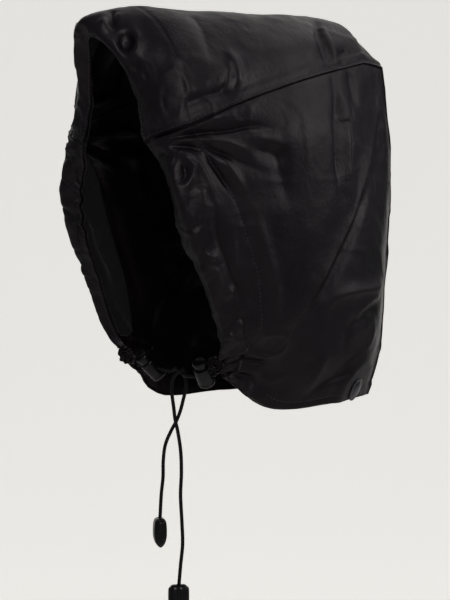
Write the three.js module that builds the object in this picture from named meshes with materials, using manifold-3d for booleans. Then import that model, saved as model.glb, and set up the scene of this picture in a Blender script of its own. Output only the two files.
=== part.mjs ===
// Detachable hood in waxed cotton, in its worn form. Millimetres, +Z up, face opening towards -Y.
// The origin is the middle of the crown's inner face.
import * as THREE from "three";
import { mergeVertices } from "three/addons/utils/BufferGeometryUtils.js";
import Module from "manifold-3d";

const wasm = await Module();
wasm.setup();

// Driving sizes of the cloth
const halfWidth = 100;
const hoodDepth = 280;
const hoodHeight = 330;
const clothWall = 1.6;
const facingWall = 1.2;
const clothGap = 0.3;
const tunnelDepth = 2;
const foldDepth = 5;
const foldWidth = 10;

// Driving sizes of the hardware
const lockRadius = 7;
const lockLength = 18;
const lockWall = 1.2;
const lockFloor = 2.5;
const buttonTravel = 4;
const buttonCapRadius = 6.3;
const buttonCapHeight = 2.6;
const slideGap = 0.3;
const cordDiameter = 3;
const cordPlay = 0.6;
const cordEndLength = 25;
const cordEndWidth = 11;
const cordEndThick = 17.5;
const cordEndWall = 1.6;
const studRadius = 10.3;
const studRise = 2.6;
const studPostRadius = 2.4;
const socketRadius = 6.4;
const socketHeight = 3;
const studSeat = 22;

// Colours and finishes
const waxedCotton = { color: 0x1b1a1c, roughness: 0.5, metalness: 0 };
const cottonInside = { color: 0x0e0e0f, roughness: 0.9, metalness: 0 };
const matteNylon = { color: 0x161616, roughness: 0.45, metalness: 0 };
const braidedCord = { color: 0x101011, roughness: 0.8, metalness: 0 };
const gunmetal = { color: 0x5a5c60, roughness: 0.35, metalness: 1 };

// Rows of a side panel from the crown seam down to the neck hem. Each place is
// [share of halfWidth, share of hoodDepth, share of hoodHeight], front edge to back seam.
const sideRows = [
  {
    name: "crownSeam",
    front: [0.43, -0.343, -0.335], roll: [0.64, -0.332, -0.317], stitch: [0.81, -0.275, -0.296],
    cheek: [0.86, -0.143, -0.247], flank: [0.76, 0.161, -0.172], ridge: [0.5, 0.468, -0.12],
    drape: [0.47, 0.508, -0.122], nape: [0.45, 0.537, -0.125], corner: [0.43, 0.566, -0.128],
  },
  {
    name: "temple",
    front: [0.53, -0.314, -0.393], roll: [0.72, -0.339, -0.381], stitch: [0.87, -0.243, -0.359],
    cheek: [0.95, -0.1, -0.338], flank: [0.92, 0.179, -0.293], ridge: [0.57, 0.475, -0.262],
    drape: [0.53, 0.511, -0.256], nape: [0.49, 0.556, -0.25], corner: [0.45, 0.579, -0.247],
  },
  {
    name: "ear",
    front: [0.63, -0.307, -0.459], roll: [0.83, -0.332, -0.453], stitch: [0.93, -0.171, -0.456],
    cheek: [0.99, -0.036, -0.453], flank: [0.98, 0.179, -0.423], ridge: [0.76, 0.386, -0.39],
    drape: [0.66, 0.464, -0.393], nape: [0.57, 0.55, -0.393], corner: [0.45, 0.6, -0.393],
  },
  {
    name: "cheek",
    front: [0.665, -0.289, -0.544], roll: [0.88, -0.3, -0.544], stitch: [0.96, -0.125, -0.553],
    cheek: [1.01, 0, -0.55], flank: [1.01, 0.161, -0.529], ridge: [0.9, 0.286, -0.526],
    drape: [0.8, 0.393, -0.535], nape: [0.67, 0.5, -0.544], corner: [0.45, 0.593, -0.55],
  },
  {
    name: "jaw",
    front: [0.725, -0.221, -0.672], roll: [0.88, -0.236, -0.678], stitch: [0.95, -0.071, -0.69],
    cheek: [0.99, 0.018, -0.678], flank: [1.01, 0.107, -0.653], ridge: [0.97, 0.186, -0.644],
    drape: [0.9, 0.321, -0.678], nape: [0.73, 0.47, -0.702], corner: [0.45, 0.575, -0.717],
  },
  {
    name: "chin",
    front: [0.735, -0.164, -0.799], roll: [0.84, -0.171, -0.811], stitch: [0.9, -0.064, -0.805],
    cheek: [0.94, -0.014, -0.787], flank: [0.97, 0.043, -0.768], ridge: [0.96, 0.089, -0.75],
    drape: [0.9, 0.257, -0.817], nape: [0.73, 0.43, -0.841], corner: [0.45, 0.557, -0.853],
  },
  {
    name: "mouth",
    front: [0.685, -0.139, -0.844], roll: [0.72, -0.157, -0.856], stitch: [0.75, -0.107, -0.859],
    cheek: [0.8, -0.071, -0.856], flank: [0.84, -0.029, -0.856], ridge: [0.87, 0.014, -0.865],
    drape: [0.86, 0.161, -0.923], nape: [0.75, 0.37, -0.923], corner: [0.45, 0.533, -0.925],
  },
  {
    name: "hem",
    front: [0.625, -0.123, -0.867], roll: [0.615, -0.128, -0.877], stitch: [0.61, -0.127, -0.887],
    cheek: [0.61, -0.122, -0.897], flank: [0.62, -0.114, -0.907], ridge: [0.635, -0.104, -0.917],
    drape: [0.75, 0.014, -0.988], nape: [0.76, 0.275, -0.99], corner: [0.45, 0.504, -0.985],
  },
];
const sideColumns = ["front", "roll", "stitch", "cheek", "flank", "ridge", "drape", "nape", "corner"];
const ridgeColumn = 5;
const studColumn = 7.3;
const studRow = 0.942;
const mouthRow = 6;
const hemRow = 7;

// Half sections of the crown panel, centre line to seam, at the same columns as the crown seam
const crownStations = [
  { name: "front", centre: [0, -0.418, -0.078], crest: [0.19, -0.375, -0.126], shoulder: [0.325, -0.343, -0.241] },
  { name: "roll", centre: [0, -0.455, -0.041], crest: [0.22, -0.424, -0.09], shoulder: [0.44, -0.361, -0.205] },
  { name: "stitch", centre: [0, -0.279, 0], crest: [0.35, -0.282, -0.041], shoulder: [0.65, -0.286, -0.144] },
  { name: "cheek", centre: [0, -0.143, 0], crest: [0.42, -0.139, -0.032], shoulder: [0.73, -0.139, -0.129] },
  { name: "flank", centre: [0, 0.143, 0], crest: [0.38, 0.15, -0.012], shoulder: [0.66, 0.154, -0.08] },
  { name: "ridge", centre: [0, 0.455, -0.008], crest: [0.26, 0.46, -0.02], shoulder: [0.43, 0.466, -0.07] },
  { name: "drape", centre: [0, 0.51, -0.038], crest: [0.25, 0.51, -0.052], shoulder: [0.4, 0.509, -0.09] },
  { name: "nape", centre: [0, 0.552, -0.062], crest: [0.23, 0.55, -0.073], shoulder: [0.38, 0.544, -0.102] },
  { name: "corner", centre: [0, 0.585, -0.09], crest: [0.22, 0.582, -0.095], shoulder: [0.36, 0.574, -0.112] },
];

// Centre line of the back, at the same rows as the back seam
const backRows = [
  { name: "temple", centre: [0, 0.612, -0.232] },
  { name: "ear", centre: [0, 0.638, -0.393] },
  { name: "cheek", centre: [0, 0.626, -0.55] },
  { name: "jaw", centre: [0, 0.605, -0.717] },
  { name: "chin", centre: [0, 0.587, -0.853] },
  { name: "mouth", centre: [0, 0.56, -0.925] },
  { name: "hem", centre: [0, 0.53, -0.985] },
];
const backCrest = { across: 0.5, round: 0.22 };
const backShoulder = { across: 0.82, round: 0.62 };

// Folds of one side, mirrored: a line from one place to another, its height as a share of
// foldDepth (dents are below 0) and its half width as a share of foldWidth
const folds = [
  { name: "templeUpper", from: [0.6, -0.33, -0.32], to: [0.97, 0.02, -0.3], height: 0.8, width: 0.7 },
  { name: "templeMiddle", from: [0.62, -0.33, -0.36], to: [0.98, -0.09, -0.39], height: 0.7, width: 0.7 },
  { name: "templeLower", from: [0.64, -0.32, -0.42], to: [0.96, -0.15, -0.47], height: 0.7, width: 0.7 },
  { name: "brimDimple", from: [0.26, -0.395, -0.08], to: [0.3, -0.39, -0.09], height: -0.4, width: 1.1 },
  { name: "crownCrease", from: [0.12, 0.38, -0.02], to: [0.62, 0.31, -0.15], height: -0.8, width: 0.9 },
  { name: "flankCrease", from: [0.66, 0.29, -0.17], to: [0.8, 0.24, -0.29], height: -0.7, width: 0.8 },
  { name: "crownPleatFront", from: [0.45, -0.15, -0.036], to: [0.82, -0.24, -0.2], height: -0.4, width: 0.6 },
  { name: "crownPleatRear", from: [0.68, -0.11, -0.1], to: [0.83, -0.15, -0.22], height: -0.4, width: 0.6 },
  { name: "napeFold", from: [0.45, 0.54, -0.69], to: [0.9, 0.22, -0.71], height: 0.8, width: 1.2 },
  { name: "napeHollow", from: [0.6, 0.5, -0.8], to: [0.92, 0.2, -0.79], height: -0.7, width: 1.5 },
  { name: "casingPuffUpper", from: [0.86, -0.27, -0.53], to: [0.87, -0.21, -0.7], height: 0.5, width: 1 },
  { name: "casingPuffLower", from: [0.86, -0.2, -0.72], to: [0.8, -0.15, -0.83], height: 0.6, width: 0.9 },
];

// Scallops that the drawcord gathers into the face edge
const scallopPitch = 16;
const scallopDepth = 1.6;
const scallopReach = 14;

// How finely each span between columns, rows and crown points is divided
const columnSteps = [2, 3, 2, 3, 3, 3, 2, 2];
const rowSteps = [3, 3, 3, 3, 3, 2, 2];
const acrossSteps = 5;
const roundSides = 18;

// Routes of the free cords, from the casing mouth to the cord end. They stay as chosen.
const leftRoute = [
  [63.8, -40, -287], [63.4, -38.3, -290.4], [62.3, -37.8, -293.5], [60.4, -37.9, -295.8],
  [57.6, -38.8, -297.5], [51, -42, -298], [43.6, -46.2, -298.5], [35.5, -48, -299],
  [27, -44, -299.2], [18.6, -36.4, -298.9], [14, -32.8, -298.7], [9.5, -30.8, -297.3],
  [7, -30.2, -295.9], [4.5, -28.8, -295.3], [2, -27.4, -295.9], [-0.5, -26.8, -297.3],
  [-3, -27.4, -298.7], [-5.4, -28.6, -300.3], [-7.4, -29.7, -303], [-8.8, -30.4, -307],
  [-9.3, -30.5, -312], [-8.8, -30.5, -319], [-6.6, -30.5, -329], [-4.6, -30.5, -339],
  [-1.6, -30.2, -348], [2.4, -30, -365], [3.4, -30, -383], [2.2, -30, -402],
  [4, -30, -424], [5, -30, -443], [2.2, -30, -461], [-0.6, -30, -481],
];
const rightRoute = [
  [-62.4, -39.4, -288.5], [-61, -38.4, -293], [-56.4, -36, -298], [-49, -32.8, -300.2],
  [-41.1, -30.4, -299.7], [-33, -31.5, -298.5], [-24.9, -32.6, -297.3], [-19.4, -31, -298.2],
  [-14.6, -28, -298.8], [-10.5, -26.8, -297.3], [-8, -27.4, -295.9], [-5.5, -28.8, -295.3],
  [-3, -30.2, -295.9], [-0.5, -30.8, -297.3], [2, -30.2, -298.7], [4.2, -29, -300.3],
  [5.9, -28, -303.1], [6.5, -27.4, -307.4], [5.4, -27, -313], [1.6, -26.6, -322],
  [-2.6, -26.2, -331], [-6.2, -26, -337], [-9.2, -26.6, -342.4], [-12, -28.6, -348.4],
  [-15, -33, -361], [-16, -34.5, -374.5], [-16, -34.8, -388.6], [-17, -35.8, -402],
  [-17.6, -37, -426],
];

// What hangs on each cord: where its lock sits on the route, and the lock's and cord end's stance
const sides = [
  {
    name: "left", sign: 1, route: leftRoute, lockAt: [51, -42, -298],
    lockAxis: [0.25, -0.54, 0.8], boreAlong: [-0.85, -0.45, -0.1], endTurn: 68,
  },
  {
    name: "right", sign: -1, route: rightRoute, lockAt: [-33, -31.5, -298.5],
    lockAxis: [-0.2, -0.68, 0.71], boreAlong: [1, 0.1, -0.1], endTurn: -28,
  },
];

function place(shares) {
  return new THREE.Vector3(
    shares[0] * halfWidth,
    shares[1] * hoodDepth,
    clothWall + shares[2] * hoodHeight,
  );
}

function curveThrough(points) {
  return new THREE.CatmullRomCurve3(points, false, "centripetal");
}

// Point on the side panel: u counts columns from the face edge, v counts rows from the crown seam.
// The ridge is a crease, so each row is one curve up to it and another from it.
const rowCurves = sideRows.map((row) => {
  const points = sideColumns.map((column) => place(row[column]));
  return {
    fore: curveThrough(points.slice(0, ridgeColumn + 1)),
    aft: curveThrough(points.slice(ridgeColumn)),
  };
});

function onRow(row, u) {
  if (u <= ridgeColumn) return row.fore.getPoint(u / ridgeColumn);
  return row.aft.getPoint((u - ridgeColumn) / (sideColumns.length - 1 - ridgeColumn));
}

function sideSurface(u, v) {
  const column = curveThrough(rowCurves.map((row) => onRow(row, u)));
  return column.getPoint(v / hemRow);
}

// Parameter values that divide the spans between whole numbers
function divided(steps) {
  const values = [0];
  steps.forEach((count, span) => {
    for (let i = 1; i <= count; i += 1) values.push(span + i / count);
  });
  return values;
}

const columnValues = divided(columnSteps);
const rowValues = divided(rowSteps);

// The crown panel's stations run along the crown seam and then down the back seam
const crownCurves = {};
for (const key of ["centre", "crest", "shoulder"]) {
  crownCurves[key] = curveThrough(crownStations.map((station) => place(station[key])));
}
const backCurve = curveThrough(
  [crownStations[crownStations.length - 1], ...backRows].map((row) => place(row.centre)),
);

function crownSection(u) {
  const t = u / (crownStations.length - 1);
  return [
    crownCurves.centre.getPoint(t),
    crownCurves.crest.getPoint(t),
    crownCurves.shoulder.getPoint(t),
    sideSurface(u, 0),
  ];
}

function backSection(v) {
  const seam = sideSurface(sideColumns.length - 1, v);
  const centre = backCurve.getPoint(v / hemRow);
  const between = (way) => new THREE.Vector3(
    seam.x * way.across,
    THREE.MathUtils.lerp(centre.y, seam.y, way.round),
    THREE.MathUtils.lerp(centre.z, seam.z, way.round),
  );
  return [centre, between(backCrest), between(backShoulder), seam];
}

function mirrored(point) {
  return new THREE.Vector3(-point.x, point.y, point.z);
}

// One row across the crown panel, left seam to right seam
function acrossPanel(section) {
  const [centre, crest, shoulder, seam] = section;
  const across = curveThrough(
    [seam, shoulder, crest, centre, mirrored(crest), mirrored(shoulder), mirrored(seam)],
  );
  const points = [];
  for (let i = 0; i <= 2 * acrossSteps; i += 1) {
    points.push(across.getPoint(i / (2 * acrossSteps)));
  }
  points[0].copy(seam);
  points[2 * acrossSteps].copy(mirrored(seam));
  return points;
}

function distanceToLine(point, from, to) {
  const line = new THREE.Line3(from, to);
  const nearest = line.closestPointToPoint(point, true, new THREE.Vector3());
  return point.distanceTo(nearest);
}

const foldLines = folds.map((fold) => ({
  from: place(fold.from),
  to: place(fold.to),
  height: fold.height * foldDepth,
  width: fold.width * foldWidth,
}));

function foldHeight(point) {
  const oneSide = new THREE.Vector3(Math.abs(point.x), point.y, point.z);
  let height = 0;
  for (const fold of foldLines) {
    const away = distanceToLine(oneSide, fold.from, fold.to) / fold.width;
    height += fold.height * Math.exp(-away * away);
  }
  return height;
}

// The grids of the three panels before their folds
function sideGrid() {
  return rowValues.map((v) => columnValues.map((u) => sideSurface(u, v)));
}

function crownGrid() {
  const crown = columnValues.map((u) => acrossPanel(crownSection(u)));
  const back = rowValues.slice(1).map((v) => acrossPanel(backSection(v)));
  return [...crown, ...back];
}

function mirroredGrid(grid) {
  return grid.map((row) => row.map(mirrored).reverse());
}

// An odd number of steps per millimetre, so that no chosen place falls between two keys
const keySteps = 47.3;

function keyOf(point) {
  return [point.x, point.y, point.z].map((value) => Math.round(value * keySteps)).join(",");
}

// Normals shared by all panels, so that neighbours keep one direction along a seam
function sharedNormals(grids) {
  const normals = new Map();
  const add = (corner, normal) => {
    const key = keyOf(corner);
    if (!normals.has(key)) normals.set(key, new THREE.Vector3());
    normals.get(key).add(normal);
  };
  for (const grid of grids) {
    for (let i = 0; i + 1 < grid.length; i += 1) {
      for (let j = 0; j + 1 < grid[i].length; j += 1) {
        const corners = [grid[i][j], grid[i + 1][j], grid[i + 1][j + 1], grid[i][j + 1]];
        const first = corners[2].clone().sub(corners[0]);
        const second = corners[3].clone().sub(corners[1]);
        const normal = first.cross(second);
        corners.forEach((corner) => add(corner, normal));
      }
    }
  }
  return (point) => normals.get(keyOf(point)).clone().normalize();
}

function scallop(point, along) {
  if (along.fromEdge > 4 * scallopReach) return 0;
  const fade = Math.exp(-along.fromEdge / scallopReach);
  return scallopDepth * fade * Math.cos((2 * Math.PI * along.distance) / scallopPitch);
}

// Press studs: a cap outside, its post through the cloth and a socket inside
function studStance() {
  const v = studRow * hemRow;
  const step = 0.2;
  const alongU = sideSurface(studColumn + step, v).sub(sideSurface(studColumn - step, v));
  const alongV = sideSurface(studColumn, v + step / 2).sub(sideSurface(studColumn, v - step / 2));
  const normal = alongV.clone().cross(alongU).normalize();
  return { point: sideSurface(studColumn, v), normal, alongV };
}

const stud = studStance();

// A stud holds the cloth round it flat
function seated(point) {
  const oneSide = new THREE.Vector3(Math.abs(point.x), point.y, point.z);
  const from = oneSide.sub(stud.point);
  const above = from.dot(stud.normal);
  const away = from.addScaledVector(stud.normal, -above).length();
  const hold = 1 - THREE.MathUtils.smoothstep(away, studSeat, studSeat * 1.7);
  const normal = stud.normal.clone();
  if (point.x < 0) normal.x = -normal.x;
  return Math.abs(above) > studSeat ? point : point.clone().addScaledVector(normal, -above * hold);
}

// Displaces a grid by its folds and, near the face edge, by the drawcord's scallops
function folded(grid, normalAt, edgeDistance) {
  return grid.map((row, i) => row.map((point, j) => {
    const rise = foldHeight(point) + scallop(point, edgeDistance(i, j));
    return seated(point.clone().addScaledVector(normalAt(point), rise));
  }));
}

// Closed wall between an outer grid and the same grid moved inwards. Each quad is split along the
// shorter diagonal of the guide, so that walls made from one sheet stay parallel.
function wallGeometry(outer, inner, guide, innerGuide) {
  const rows = outer.length;
  const columns = outer[0].length;
  const vertices = [];
  const index = (layer, i, j) => layer * rows * columns + i * columns + j;
  for (const layer of [outer, inner]) {
    for (const row of layer) {
      for (const point of row) vertices.push(point.x, point.y, point.z);
    }
  }
  const faces = [];
  const quad = (a, b, c, d) => faces.push(a, b, c, a, c, d);
  for (let i = 0; i + 1 < rows; i += 1) {
    for (let j = 0; j + 1 < columns; j += 1) {
      const corners = [[i, j], [i + 1, j], [i + 1, j + 1], [i, j + 1]];
      const [a, b, c, d] = corners.map(([row, column]) => guide[row][column]);
      if (a.distanceTo(c) > b.distanceTo(d)) corners.push(corners.shift());
      const [front, back] = [0, 1].map((layer) => corners.map((at) => index(layer, ...at)));
      quad(...front);
      quad(back[2], back[1], back[0], back[3]);
    }
  }
  const rim = (first, second) => {
    const across = guide[first[0]][first[1]].distanceTo(innerGuide[second[0]][second[1]]);
    const other = guide[second[0]][second[1]].distanceTo(innerGuide[first[0]][first[1]]);
    const corners = [index(0, ...first), index(1, ...first), index(1, ...second), index(0, ...second)];
    if (across > other) corners.push(corners.shift());
    quad(...corners);
  };
  for (let i = 0; i + 1 < rows; i += 1) {
    rim([i, 0], [i + 1, 0]);
    rim([i + 1, columns - 1], [i, columns - 1]);
  }
  for (let j = 0; j + 1 < columns; j += 1) {
    rim([0, j + 1], [0, j]);
    rim([rows - 1, j], [rows - 1, j + 1]);
  }
  const geometry = new THREE.BufferGeometry();
  geometry.setAttribute("position", new THREE.Float32BufferAttribute(vertices, 3));
  geometry.setIndex(faces);
  return geometry;
}

function offsetGrid(grid, normals, depthAt) {
  return grid.map((row, i) => row.map((point, j) => (
    point.clone().addScaledVector(normals[i][j], -depthAt(i, j))
  )));
}

// Draws the edge of a grid back from its neighbour by half of the gap
function drawnBack(grid, edge) {
  const rows = grid.length;
  const columns = grid[0].length;
  const toward = { top: [1, 0], bottom: [-1, 0], first: [0, 1], last: [0, -1] }[edge];
  return grid.map((row, i) => row.map((point, j) => {
    const onEdge = { top: i === 0, bottom: i === rows - 1, first: j === 0, last: j === columns - 1 };
    if (!onEdge[edge]) return point;
    const inner = grid[i + toward[0]][j + toward[1]];
    const step = inner.clone().sub(point).setLength(clothGap / 2);
    return point.clone().add(step);
  }));
}

function toManifold(geometry) {
  const bare = geometry.clone();
  bare.deleteAttribute("normal");
  bare.deleteAttribute("uv");
  const merged = mergeVertices(bare, 1e-4);
  return new wasm.Manifold(new wasm.Mesh({
    numProp: 3,
    vertProperties: new Float32Array(merged.attributes.position.array),
    triVerts: new Uint32Array(merged.index.array),
  }));
}

function fromManifold(solid) {
  const mesh = solid.getMesh();
  const geometry = new THREE.BufferGeometry();
  geometry.setAttribute("position", new THREE.Float32BufferAttribute(mesh.vertProperties, 3));
  geometry.setIndex(Array.from(mesh.triVerts));
  return geometry;
}

function piece(name, geometry, finish) {
  const mesh = new THREE.Mesh(geometry, new THREE.MeshStandardMaterial(finish));
  mesh.name = name;
  return mesh;
}

// A frame whose local Z is the axis and whose local X is as near as it can be to the other way
function stance(origin, axis, along) {
  const z = axis.clone().normalize();
  const x = along.clone().addScaledVector(z, -along.dot(z)).normalize();
  const y = z.clone().cross(x);
  const matrix = new THREE.Matrix4().makeBasis(x, y, z).setPosition(origin);
  const group = new THREE.Group();
  matrix.decompose(group.position, group.quaternion, group.scale);
  group.updateMatrixWorld(true);
  return group;
}

function turned(profile, sides_) {
  const points = profile.map(([r, z]) => new THREE.Vector2(r, z));
  return new THREE.LatheGeometry(points, sides_).rotateX(Math.PI / 2);
}

function rod(radius, length, sides_) {
  return new THREE.CylinderGeometry(radius, radius, length, sides_).rotateX(Math.PI / 2);
}

// Cloth
const baseSide = sideGrid();
const baseCrown = crownGrid();
const baseNormal = sharedNormals([baseSide, mirroredGrid(baseSide), baseCrown]);

// Distance from the face edge, and distance along it counted from the crown seam's front end
function sideEdgeDistance(i, j) {
  let along = 0;
  for (let k = 0; k < i; k += 1) along += baseSide[k][0].distanceTo(baseSide[k + 1][0]);
  return { fromEdge: baseSide[i][j].distanceTo(baseSide[i][0]), distance: along };
}

function crownEdgeDistance(i, j) {
  const edge = baseCrown[0];
  const seamSide = j <= acrossSteps ? 0 : edge.length - 1;
  const step = seamSide === 0 ? 1 : -1;
  let along = 0;
  for (let k = seamSide; k !== j; k += step) along += edge[k].distanceTo(edge[k + step]);
  return { fromEdge: baseCrown[i][j].distanceTo(edge[j]), distance: along };
}

const sideSheet = folded(baseSide, baseNormal, sideEdgeDistance);
const crownSheet = folded(baseCrown, baseNormal, crownEdgeDistance);
const sheetNormal = sharedNormals([sideSheet, mirroredGrid(sideSheet), crownSheet]);

function panelGeometry(sheet, edges) {
  const normals = sheet.map((row) => row.map((point) => sheetNormal(point)));
  const inside = offsetGrid(sheet, normals, () => clothWall);
  let outer = sheet;
  let inner = inside;
  for (const edge of edges) {
    outer = drawnBack(outer, edge);
    inner = drawnBack(inner, edge);
  }
  return wallGeometry(outer, inner, sheet, inside);
}

// The facing follows the panels from the mouth row up one side, over the brow and down the other
function facingGeometry() {
  const depthCount = columnSteps[0] + columnSteps[1];
  const lastRow = rowValues.indexOf(mouthRow) - 1;
  const path = [];
  for (let i = lastRow; i > 0; i -= 1) {
    path.push(sideSheet[i].slice(0, depthCount + 1));
  }
  const seamToSeam = crownSheet[0].length;
  for (let k = 0; k < seamToSeam; k += 1) {
    path.push(crownSheet.slice(0, depthCount + 1).map((row) => row[k]));
  }
  for (let i = 1; i <= lastRow; i += 1) {
    path.push(sideSheet[i].slice(0, depthCount + 1).map(mirrored));
  }
  const normals = path.map((row) => row.map((point) => sheetNormal(point)));
  const outerDepth = (i, j) => {
    const ends = Math.min(1, i / 2, (path.length - 1 - i) / 2);
    return clothWall + clothGap + tunnelDepth * ends * Math.sin((Math.PI * j) / depthCount);
  };
  const outer = offsetGrid(path, normals, outerDepth);
  const inner = offsetGrid(path, normals, (i, j) => outerDepth(i, j) + facingWall);
  const turnedRound = (grid) => grid.map((row) => row.slice().reverse());
  return wallGeometry(
    turnedRound(outer),
    turnedRound(inner),
    turnedRound(path),
    turnedRound(inner),
  );
}

function studCapGeometry() {
  const hollow = studRise * 0.35;
  return turned([
    [0, studRise], [studRadius * 0.45, studRise * 0.93], [studRadius * 0.8, studRise * 0.68],
    [studRadius, studRise * 0.2], [studRadius, clothGap], [studRadius * 0.88, clothGap],
    [studRadius * 0.8, clothGap + hollow], [studPostRadius, clothGap + hollow],
    [studPostRadius, -clothWall - 2 * clothGap - socketHeight * 0.6],
    [0, -clothWall - 2 * clothGap - socketHeight * 0.6],
  ].reverse(), roundSides);
}

function socketGeometry() {
  const top = -clothWall - 2 * clothGap;
  const bottom = top - socketHeight;
  const bore = studPostRadius + slideGap;
  return turned([
    [bore, top], [bore, bottom], [socketRadius * 0.8, bottom], [socketRadius, bottom + 1],
    [socketRadius, top], [bore, top],
  ], roundSides);
}

// Cord locks: a cup with a cross bore, and a spring button whose slot clears the cord at both ends
const boreRadius = cordDiameter / 2 + cordPlay;
const cupRadius = lockRadius - lockWall;
const plungerRadius = cupRadius - slideGap;
const lockTop = lockLength / 2;

function lockBodyGeometry() {
  const edge = lockRadius * 0.12;
  const cup = turned([
    [0, -lockTop], [lockRadius - edge, -lockTop], [lockRadius, -lockTop + edge],
    [lockRadius, lockTop - edge], [lockRadius - edge / 2, lockTop], [cupRadius, lockTop],
    [cupRadius, -lockTop + lockFloor], [0, -lockTop + lockFloor],
  ], roundSides);
  const bore = rod(boreRadius, lockRadius * 3, 16).rotateY(Math.PI / 2);
  return fromManifold(toManifold(cup).subtract(toManifold(bore)));
}

function lockButtonGeometry() {
  const capBottom = lockTop + buttonTravel + slideGap;
  const capTop = capBottom + buttonCapHeight;
  const plungerBottom = -lockTop + lockFloor + buttonTravel + slideGap;
  const edge = buttonCapHeight * 0.3;
  const plunger = turned([
    [0, plungerBottom], [plungerRadius, plungerBottom], [plungerRadius, capBottom],
    [buttonCapRadius, capBottom], [buttonCapRadius, capTop - edge],
    [buttonCapRadius - edge, capTop], [buttonCapRadius * 0.66, capTop],
    [buttonCapRadius * 0.6, capTop - edge], [0, capTop - edge],
  ], roundSides);
  const outline = new THREE.Shape();
  outline.absarc(0, buttonTravel, boreRadius, 0, Math.PI, false);
  outline.absarc(0, 0, boreRadius, Math.PI, 2 * Math.PI, false);
  outline.closePath();
  const slot = new THREE.ExtrudeGeometry(outline, {
    depth: lockRadius * 3, bevelEnabled: false, curveSegments: 8,
  });
  slot.translate(0, 0, -lockRadius * 1.5).rotateX(Math.PI / 2).rotateZ(Math.PI / 2);
  return fromManifold(toManifold(plunger).subtract(toManifold(slot)));
}

// Free cords
const cordSteps = 54;

function cordGeometry(route) {
  const path = curveThrough(route.map((point) => new THREE.Vector3(...point)));
  const section = new THREE.Shape();
  const sidesOfCord = 8;
  for (let i = 0; i < sidesOfCord; i += 1) {
    const angle = (2 * Math.PI * i) / sidesOfCord;
    const x = (cordDiameter / 2) * Math.cos(angle);
    const y = (cordDiameter / 2) * Math.sin(angle);
    if (i === 0) section.moveTo(x, y);
    else section.lineTo(x, y);
  }
  section.closePath();
  return new THREE.ExtrudeGeometry(section, {
    steps: cordSteps, bevelEnabled: false, extrudePath: path,
  });
}

// Cord ends: two bean-shaped shells that close on the knot, local Z up the cord, split across X
function cordEndOutline(inset) {
  const half = cordEndLength / 2 - inset;
  const wide = cordEndWidth / 2 - inset;
  const outline = new THREE.Shape();
  outline.moveTo(0, -half);
  outline.bezierCurveTo(wide * 0.8, -half * 0.95, wide, -half * 0.45, wide, half * 0.05);
  outline.bezierCurveTo(wide, half * 0.6, wide * 0.65, half, 0, half);
  outline.bezierCurveTo(-wide * 0.65, half, -wide, half * 0.6, -wide, half * 0.05);
  outline.bezierCurveTo(-wide, -half * 0.45, -wide * 0.8, -half * 0.95, 0, -half);
  return outline;
}

// Layers of one shell outwards from the split: how far out, and how much smaller its outline is
const shellLayers = [
  { out: 0, inset: 0 },
  { out: 0.55, inset: 0.2 },
  { out: 0.8, inset: 0.9 },
  { out: 0.8, inset: 1.5 },
  { out: 0.97, inset: 2.1 },
  { out: 1, inset: 2.9 },
];

function lofted(layers) {
  const rings = layers.map(({ x, inset }) => {
    const outline = cordEndOutline(inset).getPoints(3);
    outline.pop();
    return outline.map((point) => new THREE.Vector3(x, point.x, point.y));
  });
  const count = rings[0].length;
  const vertices = [];
  const faces = [];
  rings.forEach((ring) => ring.forEach((point) => vertices.push(point.x, point.y, point.z)));
  for (let i = 0; i + 1 < rings.length; i += 1) {
    for (let j = 0; j < count; j += 1) {
      const next = (j + 1) % count;
      const a = i * count + j;
      const b = i * count + next;
      faces.push(a, b, b + count, a, b + count, a + count);
    }
  }
  const flat = cordEndOutline(layers[0].inset).getPoints(3);
  flat.pop();
  const bottom = THREE.ShapeUtils.triangulateShape(flat, []);
  bottom.forEach(([a, b, c]) => faces.push(c, b, a));
  const offset = (rings.length - 1) * count;
  bottom.forEach(([a, b, c]) => faces.push(a + offset, b + offset, c + offset));
  const geometry = new THREE.BufferGeometry();
  geometry.setAttribute("position", new THREE.Float32BufferAttribute(vertices, 3));
  geometry.setIndex(faces);
  return geometry;
}

function cordEndShell(sign) {
  const reach = cordEndThick / 2 - clothGap / 2;
  const outside = shellLayers.map(({ out, inset }) => ({
    x: clothGap / 2 + out * reach, inset,
  }));
  const hollow = [
    { x: -1, inset: cordEndWall },
    { x: clothGap / 2 + reach * 0.5, inset: cordEndWall + 0.2 },
    { x: clothGap / 2 + reach * 0.8 - cordEndWall, inset: cordEndWall + 1 },
  ];
  const entry = rod(boreRadius, cordEndLength, 16).translate(0, 0, cordEndLength / 2);
  const shell = toManifold(lofted(outside))
    .subtract(toManifold(lofted(hollow)))
    .subtract(toManifold(entry));
  const geometry = fromManifold(shell);
  if (sign < 0) geometry.rotateZ(Math.PI);
  return geometry;
}

const group = new THREE.Group();

const crownGeometry = panelGeometry(crownSheet, ["first", "last"]);
group.add(piece("crown_panel", crownGeometry, waxedCotton));
group.add(piece("face_facing", facingGeometry(), cottonInside));

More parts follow.
